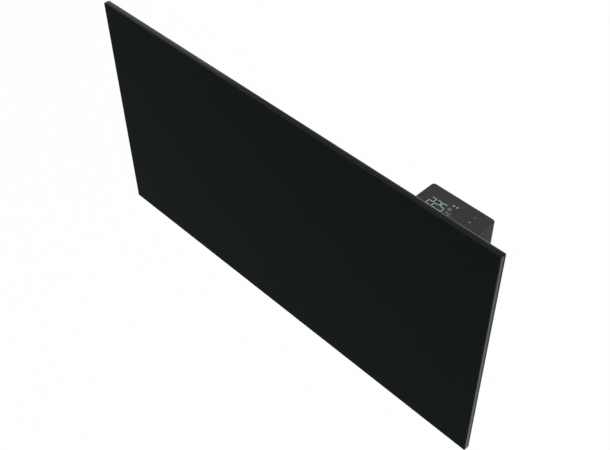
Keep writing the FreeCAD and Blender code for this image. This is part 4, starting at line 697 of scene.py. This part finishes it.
class Surface:
    """Meshes made from whole arrays of points."""

    @staticmethod
    def piece(name: str, points: np.ndarray, faces: Sequence[Sequence[int]], smooth: bool) -> Piece:
        """A linked object at the origin, from points of shape (n, 3) and the corners of each face."""
        mesh = bpy.data.meshes.new(name)
        mesh.from_pydata(points.tolist(), [], [list(face) for face in faces])
        mesh.polygons.foreach_set("use_smooth", np.full(len(mesh.polygons), smooth))
        mesh.validate()
        mesh.update()
        made = bpy.data.objects.new(name, mesh)
        bpy.context.scene.collection.objects.link(made)
        return made

    @staticmethod
    def skin(rings: np.ndarray, capped: bool) -> Shell:
        """A skin over rings of shape (rings, points, 3), capped at both ends or else joined end to end."""
        count, size = rings.shape[:2]
        last = count - 1 if capped else count
        ring, corner = np.meshgrid(np.arange(last), np.arange(size), indexing="ij")
        here = ring * size
        after = (ring + 1) % count * size
        beside = (corner + 1) % size
        quads = np.stack([here + corner, here + beside, after + beside, after + corner], 2)
        faces = quads.reshape(-1, 4).tolist()
        if capped:
            faces.append(list(range(size))[::-1])
            faces.append([(count - 1) * size + corner for corner in range(size)])
        return rings.reshape(-1, 3), faces

    @staticmethod
    def gathered(shells: Sequence[Shell]) -> Shell:
        """Several skins as one set of points and faces."""
        points: List[np.ndarray] = []
        faces: List[List[int]] = []
        start = 0
        for shell_points, shell_faces in shells:
            points.append(shell_points)
            faces += [[start + corner for corner in face] for face in shell_faces]
            start += len(shell_points)
        return np.concatenate(points), faces


@dataclass
class Assembly:
    """A group of CAD nodes that are dressed together, with the pieces added to them.

    Attributes:
        nodes: the CAD nodes that have each finish.
    """

    nodes: ClassVar[Dict[str, str]] = {}

    def pieces(self) -> List[Piece]:
        """Builds the added pieces."""
        return []

    def dress(self) -> None:
        """Gives every node its finish, builds the pieces and reports both."""
        title = type(self).__name__
        for finish, names in self.nodes.items():
            for name in names.split():
                node = frame["nodes"][name]
                node.data.materials.clear()
                node.data.materials.append(material(finish))
                log.info("%s: node %s in %s", title, name, finish)
        for piece in self.pieces():
            log.info("%s: piece %s", title, piece.name)

    def fitted(self, name: str, shell: Shell, finish: str, slot: str, body: str,
               smooth: bool = False) -> Piece:
        """A new piece with a finish that rides on a body."""
        piece = Surface.piece(name, *shell, smooth)
        piece.data.materials.append(material(finish))
        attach(piece, body)
        return piece


@dataclass
class GlassFront(Assembly):
    """The glass, the silicone behind it and the folded tray."""

    nodes: ClassVar[Dict[str, str]] = {
        "black_glass": "glass_panel",
        "silicone": "bonding_strips",
        "tray_paint": "front_tray",
    }


@dataclass
class HeatingChamber(Assembly):
    """The slatted convection chamber with its element and leads."""

    nodes: ClassVar[Dict[str, str]] = {
        "chamber_paint": "back_panel left_end_cap right_end_cap",
        "slat_paint": "outlet_slats inlet_slats",
        "zinc_steel": "cap_screws cap_rivets left_element_bracket right_element_bracket cutout_bracket",
        "aluminium": "heat_shield element_fins",
        "rod_steel": "heating_rod",
        "ceramic": "rod_insulators",
        "can": "thermal_cutout",
        "neutral_wire": "neutral_lead",
        "live_wire": "live_lead cutout_lead",
        "earth_wire": "earth_lead",
        "brass": "earth_stud",
        "rubber": "lead_bush",
    }
    slat_count: int = 4
    slat_thickness: float = 0.0020
    section_points: int = 40
    stations: int = 24
    deep_power: float = 0.5
    tall_power: float = 0.25

    def slats(self, node: str) -> Piece:
        """The slats of one mouth.

        The section of a slat is a superellipse. With t round the section, the depth is half the thickness
        times the signed square root of cos t, and the height is half the height times the signed fourth root
        of sin t. The section runs along the chamber from end cap to end cap.
        """
        low, high = (np.array(corner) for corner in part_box(node))
        turn = around(self.section_points)
        half = self.slat_thickness / 2
        deep = np.sign(np.cos(turn)) * np.abs(np.cos(turn)) ** self.deep_power * half
        tall = np.sign(np.sin(turn)) * np.abs(np.sin(turn)) ** self.tall_power * (high[2] - low[2]) / 2
        along = np.linspace(low[0], high[0], self.stations)[:, None]
        middle = (low[2] + high[2]) / 2
        depths = np.linspace(low[1] + half, high[1] - half, self.slat_count)
        shell = Surface.gathered([
            Surface.skin(joined(along, depth + deep, middle + tall), True) for depth in depths
        ])
        piece = self.fitted(f"rounded_{node}", shell, "slat_paint", "slat_paint", "heater", True)
        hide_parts(node)
        return piece

    def pieces(self) -> List[Piece]:
        """Both sets of slats."""
        return [self.slats("outlet_slats"), self.slats("inlet_slats")]


@dataclass(frozen=True)
class Ledge:
    """A flat place for marks: a point on it, the marks' two directions and the way out, as unit vectors."""

    origin: Point
    along: Point
    aside: Point
    out: Point

    def lifted(self, flat: np.ndarray, height: np.ndarray) -> np.ndarray:
        """Points over the ledge: its origin plus flat coordinates and a height along their directions."""
        spread = flat[..., :1] * np.array(self.along) + flat[..., 1:] * np.array(self.aside)
        return np.array(self.origin) + spread + height[..., None] * np.array(self.out)


@dataclass(frozen=True)
class Arc:
    """An arc of a flat hoop on a ledge.

    The radius goes to the middle of the stroke. The sweep is a first angle and an angle covered, in degrees.
    """

    centre: Pair
    radius: float
    stroke: float
    sweep: Pair = (0.0, CLOSED)


@dataclass
class Marking(Assembly):
    """Thin plates and hoops that stand a little proud of a flat place, which has the carrier's finish."""

    carrier: ClassVar[str] = "lid_plastic"
    body: ClassVar[str] = "heater"
    thickness: float = 0.00006
    rise: Point = (0.0, 0.7, 1.0)
    draw: Point = (1.0, 1.0, 0.985)
    arc_points: int = 33
    disc_points: int = 28

    def plate(self, name: str, ledge: Ledge, outlines: Sequence[np.ndarray], finish: str) -> Piece:
        """Plates with eased rims, from outlines of shape (points, 2).

        Each outline is carried up in three rings: at the surface, at seven tenths of the thickness and at the
        top, where it is drawn in towards its middle.
        """
        shells = []
        rise = np.array(self.rise) * self.thickness
        draw = np.array(self.draw)
        for outline in outlines:
            middle = outline.mean(axis=0)
            flat = middle + (outline - middle)[None, :, :] * draw[:, None, None]
            height = np.repeat(rise[:, None], len(outline), axis=1)
            shells.append(Surface.skin(ledge.lifted(flat, height), True))
        return self.fitted(name, Surface.gathered(shells), finish, self.carrier, self.body)

    def hoop(self, name: str, ledge: Ledge, arc: Arc, finish: str) -> Piece:
        """An arc of a flat hoop.

        At each angle of the sweep the ring has the four corners of the stroke's section: inner and outer at
        the surface, then outer and inner at the top.
        """
        first, covered = arc.sweep
        turn = np.radians(np.linspace(first, first + covered, self.arc_points))
        if covered >= CLOSED:
            turn = turn[:-1]
        reach = arc.radius + np.array([-0.5, 0.5, 0.5, -0.5]) * arc.stroke
        way = np.stack([np.cos(turn), np.sin(turn)], 1)
        flat = np.array(arc.centre) + way[:, None, :] * reach[None, :, None]
        height = np.repeat(np.array([[0.0, 0.0, 1.0, 1.0]]) * self.thickness, len(turn), axis=0)
        shell = Surface.skin(ledge.lifted(flat, height), covered < CLOSED)
        return self.fitted(name, shell, finish, self.carrier, self.body)

    def disc(self, centre: Pair, radius: float) -> np.ndarray:
        """A round outline."""
        turn = around(self.disc_points)
        return np.array(centre) + radius * np.stack([np.cos(turn), np.sin(turn)], 1)

    def bar(self, start: Pair, end: Pair, stroke: float, gap: float) -> np.ndarray:
        """A bar with pointed ends, short of two points by a gap: a hexagon as wide as the stroke."""
        first = np.array(start)
        last = np.array(end)
        way = (last - first) / np.linalg.norm(last - first)
        side = np.array([-way[1], way[0]]) * stroke / 2
        first = first + way * gap
        last = last - way * gap
        inset = way * stroke / 2
        return np.array([first, first + inset - side, last - inset - side, last, last - inset + side,
                         first + inset + side])


@dataclass
class Readout(Marking):
    """The lit figures, the lamps and the touch marks, measured from the left and back edges of the lid.

    Attributes:
        left: where the first figure starts.
        pitch: from one figure to the next.
        top: place of a figure's upper bar, as for the middle and the bottom one.
        gap: between a bar and the corner of its figure.
    """

    left: float = 0.0164
    pitch: float = 0.0090
    width: float = 0.0077
    top: float = -0.0220
    middle: float = -0.02915
    bottom: float = -0.0363
    stroke: float = 0.00085
    gap: float = 0.00015
    degree: Arc = Arc(centre=(0.0482, -0.0323), radius=0.0010, stroke=0.0006)
    unit: Arc = Arc(centre=(0.0533, -0.0331), radius=0.0021, stroke=0.0006, sweep=(50.0, 260.0))
    mode: Arc = Arc(centre=(0.0473, -0.0252), radius=0.0021, stroke=0.0009)
    lid: Ledge = Ledge(origin=(HOUSING_LOW.x, HOUSING_HIGH.y, LID_TOP), along=(1.0, 0.0, 0.0),
                       aside=(0.0, 1.0, 0.0), out=(0.0, 0.0, 1.0))

    def figure(self, name: str, place: int, digit: Digit) -> Piece:
        """One seven-bar figure, with the bars between the six corners of its frame."""
        x0 = self.left + self.stroke / 2 + place * self.pitch
        x1 = x0 + self.width - self.stroke
        ends = [
            ((x0, self.top), (x1, self.top)), ((x1, self.middle), (x1, self.top)),
            ((x1, self.bottom), (x1, self.middle)), ((x0, self.bottom), (x1, self.bottom)),
            ((x0, self.bottom), (x0, self.middle)), ((x0, self.middle), (x0, self.top)),
            ((x0, self.middle), (x1, self.middle)),
        ]
        bars = [self.bar(*pair, self.stroke, self.gap) for pair, lit in zip(ends, digit.value) if lit]
        return self.plate(name, self.lid, bars, "lit_mark")

    def dots(self, name: str, finish: str, radius: float, *centres: Pair) -> Piece:
        """Round marks on the lid."""
        return self.plate(name, self.lid, [self.disc(centre, radius) for centre in centres], finish)

    def pieces(self) -> List[Piece]:
        """The figures, their point and unit, the mode sign, the lamps and the touch marks."""
        return [
            self.figure("figure_tens", 0, Digit.TWO),
            self.figure("figure_ones", 1, Digit.TWO),
            self.figure("figure_tenths", 2, Digit.FIVE),
            self.dots("figure_point", "lit_mark", 0.0005, (0.0337, -0.0360)),
            self.hoop("degree_mark", self.lid, self.degree, "unit_mark"),
            self.hoop("unit_mark", self.lid, self.unit, "unit_mark"),
            self.hoop("mode_ring", self.lid, self.mode, "dim_mark"),
            self.dots("mode_dot", "dim_mark", 0.0009, self.mode.centre),
            self.dots("status_lamps", "lamp_mark", 0.0016, (0.0473, -0.0163), (0.0527, -0.0160)),
            self.dots("touch_mark_up", "faint_mark", 0.0016, (0.0800, -0.0145)),
            self.dots("touch_mark_down", "dim_mark", 0.0013, (0.0799, -0.0258)),
        ]


@dataclass
class SwitchMarks(Marking):
    """The line and the ring printed on the two halves of the rocker, which meet in a shallow valley.

    Attributes:
        throw: angle between the two halves, in radians.
        valley: distance of the valley from the rocker's pivot.
        reach: distance of a mark from the valley.
    """

    carrier: ClassVar[str] = "switch_plastic"
    body: ClassVar[str] = "rocker"
    throw: float = math.radians(20.0)
    valley: float = 0.0044
    reach: float = 0.003656
    line_half: float = 0.0018
    line_stroke: float = 0.0007
    circle: Arc = Arc(centre=(0.0, 0.0), radius=0.0016, stroke=0.0006)

    def half(self, lean: float, side: float) -> Ledge:
        """The face of one half, at a lean from upright and above (1) or below (-1) the valley."""
        up = np.array((-math.sin(lean), 0.0, math.cos(lean)))
        valley = np.array((math.cos(self.throw / 2), 0.0, math.sin(self.throw / 2))) * self.valley
        middle = np.array(ROCKER_PIVOT) + valley + up * (side * self.reach)
        return Ledge(tuple(middle), (0.0, 1.0, 0.0), tuple(up), (math.cos(lean), 0.0, math.sin(lean)))

    def pieces(self) -> List[Piece]:
        """The line on the half that is pressed at rest and the ring on the other."""
        line = self.bar((0.0, -self.line_half), (0.0, self.line_half), self.line_stroke, 0.0)
        return [
            self.plate("rocker_line", self.half(0.0, 1.0), [line], "printed_mark"),
            self.hoop("rocker_ring", self.half(self.throw, -1.0), self.circle, "printed_mark"),
        ]


@dataclass
class ControlBox(Assembly):
    """The housing and lid, the boards inside, the sensor and the gland.

    Attributes:
        bore_ease: chamfer at the lower end of the gland's bore.
        flange: how far the gland's flange stands out from its neck.
        rim: the flange's eased rim, as shares of its radius with heights.
        fluted: share of the flange's radius where the flutes start.
    """

    nodes: ClassVar[Dict[str, str]] = {
        "control_plastic": "control_housing room_sensor",
        "lid_plastic": "control_lid",
        "board": "display_board power_board",
        "component": "digit_module transformer cable_gland gland_nut",
        "rubber": "touch_pads",
        "can": "radio_module capacitors",
        "zinc_steel": "display_board_screws power_board_screws housing_screws",
        "terminal_plastic": "terminal_block",
        "relay_case": "relay",
        "ribbon": "ribbon_cable",
        "switch_plastic": "switch_body switch_rocker",
        "live_wire": "switch_leads",
    }
    bore: float = 0.00425
    bore_ease: float = 0.0006
    flange: float = 0.0030
    flange_height: float = 0.0030
    rim: Tuple[Pair, ...] = ((0.84, 0.0), (0.94, 0.0003), (1.0, 0.0010))
    turns: int = 192
    flutes: int = 24
    flute_depth: float = 0.0006
    fluted: float = 0.9

    def gland(self) -> Piece:
        """The cable gland with flutes round its flange.

        A closed profile of radius and height goes round the gland's axis: out along the underside, over the
        eased rim, in over the flange, up the neck and down the bore. Where the radius passes nine tenths of
        the flange, it is drawn in by a raised cosine of the angle, which cuts the flutes.
        """
        low, high = (np.array(corner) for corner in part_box("cable_gland"))
        middle = (low + high) / 2
        outer = (high[0] - low[0]) / 2
        neck = outer - self.flange
        foot = low[2]
        shoulder = foot + self.flange_height
        eased = [(outer * share, foot + height) for share, height in self.rim]
        profile = np.array([
            (self.bore + self.bore_ease, foot), *eased, (outer, shoulder), (neck, shoulder), (neck, high[2]),
            (self.bore, high[2]), (self.bore, foot + self.bore_ease),
        ])
        turn = around(self.turns)
        wave = 0.5 + 0.5 * np.cos(turn * self.flutes)
        cut = (profile[:, 0] > outer * self.fluted)[None, :] * wave[:, None] * self.flute_depth
        radius = profile[None, :, 0] - cut
        across = middle[0] + radius * np.cos(turn)[:, None]
        rings = joined(across, middle[1] + radius * np.sin(turn)[:, None], profile[:, 1])
        piece = self.fitted("fluted_gland", Surface.skin(rings, False), "component", "component", "heater")
        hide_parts("cable_gland")
        return piece

    def pieces(self) -> List[Piece]:
        """The gland."""
        return [self.gland()]


@dataclass
class HangingParts(Assembly):
    """What hangs the heater: brackets, pins and strikes on it, and the rails on the wall."""

    nodes: ClassVar[Dict[str, str]] = {
        "zinc_steel": "left_pivot_bracket right_pivot_bracket pivot_pins left_strike right_strike"
                      " hanger_rivets catch_rivets",
        "bracket_steel": "left_rail right_rail tie_bar",
        "spring_steel": "left_catch_spring right_catch_spring",
        "rubber": "rest_buffers",
    }


# The studio

@dataclass(frozen=True)
class Lamp:
    """A soft square lamp that looks at a target, with its power in watts.

    Attributes:
        mirrored: whether mirror-like surfaces show the lamp.
    """

    name: str
    place: Point
    size: float
    power: float
    target: Point = (0.0, 0.0, 0.0)
    mirrored: bool = True

    def build(self) -> None:
        """Makes the lamp."""
        data = bpy.data.lights.new(self.name, "AREA")
        data.shape = "RECTANGLE"
        data.size = self.size
        data.size_y = self.size
        data.energy = self.power
        made = bpy.data.objects.new(self.name, data)
        made.location = self.place
        made.visible_glossy = self.mirrored
        made.rotation_euler = (Vector(self.target) - Vector(self.place)).to_track_quat("-Z", "Y").to_euler()
        bpy.context.scene.collection.objects.link(made)
        log.info("Studio: lamp %s", self.name)


# A key from the right, a fill from above, a small one for the top edge's left end, one in front, one behind
LAMPS = (
    Lamp("key", (2.6, -0.9, 1.1), 1.8, 55.0),
    Lamp("overhead", (-0.2, 0.3, 2.6), 2.2, 28.0),
    Lamp("strip", (-2.24, 1.11, 1.70), 0.8, 7.5, target=(-0.4, 0.0, 0.2)),
    Lamp("front", (0.2, -2.9, 0.9), 2.0, 26.0, mirrored=False),
    Lamp("behind", (-1.4, 2.7, 0.4), 1.8, 38.0),
)


@dataclass
class Studio:
    """A pale floor well below the heater, soft lamps, a white surround and the photograph's camera.

    Each pair but the paper says where something starts and where it is full: the carpet in metres towards the
    front, the ceiling upwards, the curtain towards the front and its glimmer towards the left. The carpet,
    the ceiling and the curtain are shares of white that only mirror-like surfaces show.

    Attributes:
        far_carpet: brightness of the carpet far from the heater.
        glow: share of the floor's own white, against its paper.
        paper: the darkest and the palest grey of the paper.
        glimmer: how much brighter the curtain is at its left.
    """

    floor_height: float = -0.95
    floor_half: float = 9.0
    floor_points: int = 9
    carpet: float = 0.06
    far_carpet: float = 0.40
    carpet_edge: Pair = (0.25, -0.35)
    carpet_fade: Pair = (-1.3, -3.6)
    glow: float = 0.98
    paper: Pair = (0.78, 0.82)
    fibres: float = 300.0
    ambient: float = 0.30
    ceiling: float = 0.22
    ceiling_edge: Pair = (0.10, 0.60)
    curtain: float = 0.16
    curtain_edge: Pair = (0.15, -0.45)
    glimmer: float = 0.30
    glimmer_edge: Pair = (0.10, -0.45)
    lens: float = 57.513
    sensor: float = 36.0
    far_clip: float = 60.0
    eye: Point = (0.79609, -0.79419, 1.05449)
    forward: Point = (-0.508483, 0.489775, -0.708213)
    right: Point = (0.701771, 0.712314, -0.011246)

    def floor(self) -> None:
        """A flat sheet, white to the eye but pale paper to the lamps, with the heater's shadow on it.

        In mirror-like surfaces its front half is a dark carpet that is paler far away, and from below the
        sheet is clear.
        """
        count = self.floor_points
        side = np.linspace(-self.floor_half, self.floor_half, count)
        points = joined(side[:, None], side, self.floor_height).reshape(-1, 3)
        first, second = np.meshgrid(np.arange(count - 1), np.arange(count - 1), indexing="ij")
        start = first * count + second
        faces = np.stack([start, start + count, start + count + 1, start + 1], 2).reshape(-1, 4).tolist()
        sheet = Surface.piece("floor", points, faces, False)
        graph = Graph(bpy.data.materials.new("floor_paper"))
        deep = graph.axes()[1]
        glossy = graph.ray("Glossy")
        carpet = graph.varied(deep.ramp(*self.carpet_fade), WHITE, self.carpet, self.far_carpet)
        shown = graph.mixed(deep.ramp(*self.carpet_edge) * glossy, solid(WHITE), carpet)
        glow = graph.node("ShaderNodeEmission", {}, {"Color": shown, "Strength": 1.0})
        fibre = graph.varied(graph.noise(self.fibres), WHITE, *self.paper)
        paper = graph.node("ShaderNodeBsdfDiffuse", {}, {"Color": fibre})
        direct = graph.ray("Camera").most(glossy).most(graph.ray("Transmission"))
        lit = graph.blend(direct * self.glow, paper, glow)
        clear = graph.node("ShaderNodeBsdfTransparent", {}, {})
        under = graph.value("ShaderNodeNewGeometry", {}, {}, "Backfacing")
        sheet.data.materials.append(graph.end(graph.blend(under, lit, clear)))

    def surround(self) -> None:
        """A world that is white to the eye and a plain grey light.

        Mirror-like surfaces show it with a dim ceiling and a dark curtain in front, so that the glass stays
        black as in the photograph.
        """
        graph = Graph(bpy.data.worlds.new("surround"), "Generated")
        across, ahead, rise = graph.axes()
        glossy = graph.ray("Glossy")
        overhead = 1.0 - rise.ramp(*self.ceiling_edge) * (1.0 - self.ceiling)
        curtain = across.ramp(*self.glimmer_edge) * self.glimmer + self.curtain
        before = 1.0 - ahead.ramp(*self.curtain_edge) * (1.0 - curtain)
        direct = graph.ray("Camera").most(graph.ray("Transmission"))
        other = glossy * (overhead * before) + (1.0 - glossy) * self.ambient
        strength = direct + (1.0 - direct) * other
        glow = graph.node("ShaderNodeBackground", {}, {"Color": solid(WHITE), "Strength": strength})
        bpy.context.scene.world = graph.end(glow, "ShaderNodeOutputWorld")

    def camera(self) -> None:
        """The photograph's camera, from its eye, where it looks and the right of its picture."""
        data = bpy.data.cameras.new("photo_camera")
        data.sensor_width = self.sensor
        data.sensor_fit = "HORIZONTAL"
        data.lens = self.lens
        data.clip_end = self.far_clip
        ahead = Vector(self.forward).normalized()
        side = (Vector(self.right) - ahead * Vector(self.right).dot(ahead)).normalized()
        turn = Matrix((side, side.cross(ahead), -ahead)).transposed()
        made = bpy.data.objects.new("photo_camera", data)
        made.matrix_world = Matrix.Translation(self.eye) @ turn.to_4x4()
        bpy.context.scene.collection.objects.link(made)
        bpy.context.scene.camera = made

    def build(self) -> None:
        """Sets up everything that isn't part of the heater."""
        bpy.context.scene.view_settings.view_transform = "Standard"
        self.camera()
        self.surround()
        self.floor()
        for lamp in LAMPS:
            lamp.build()


def main() -> None:
    """Builds the studio and dresses each group."""
    logging.basicConfig(level=logging.INFO, format="%(message)s")
    Studio().build()
    for group in (GlassFront, HeatingChamber, ControlBox, Readout, SwitchMarks, HangingParts):
        group().dress()


if __name__ == "__main__":
    main()
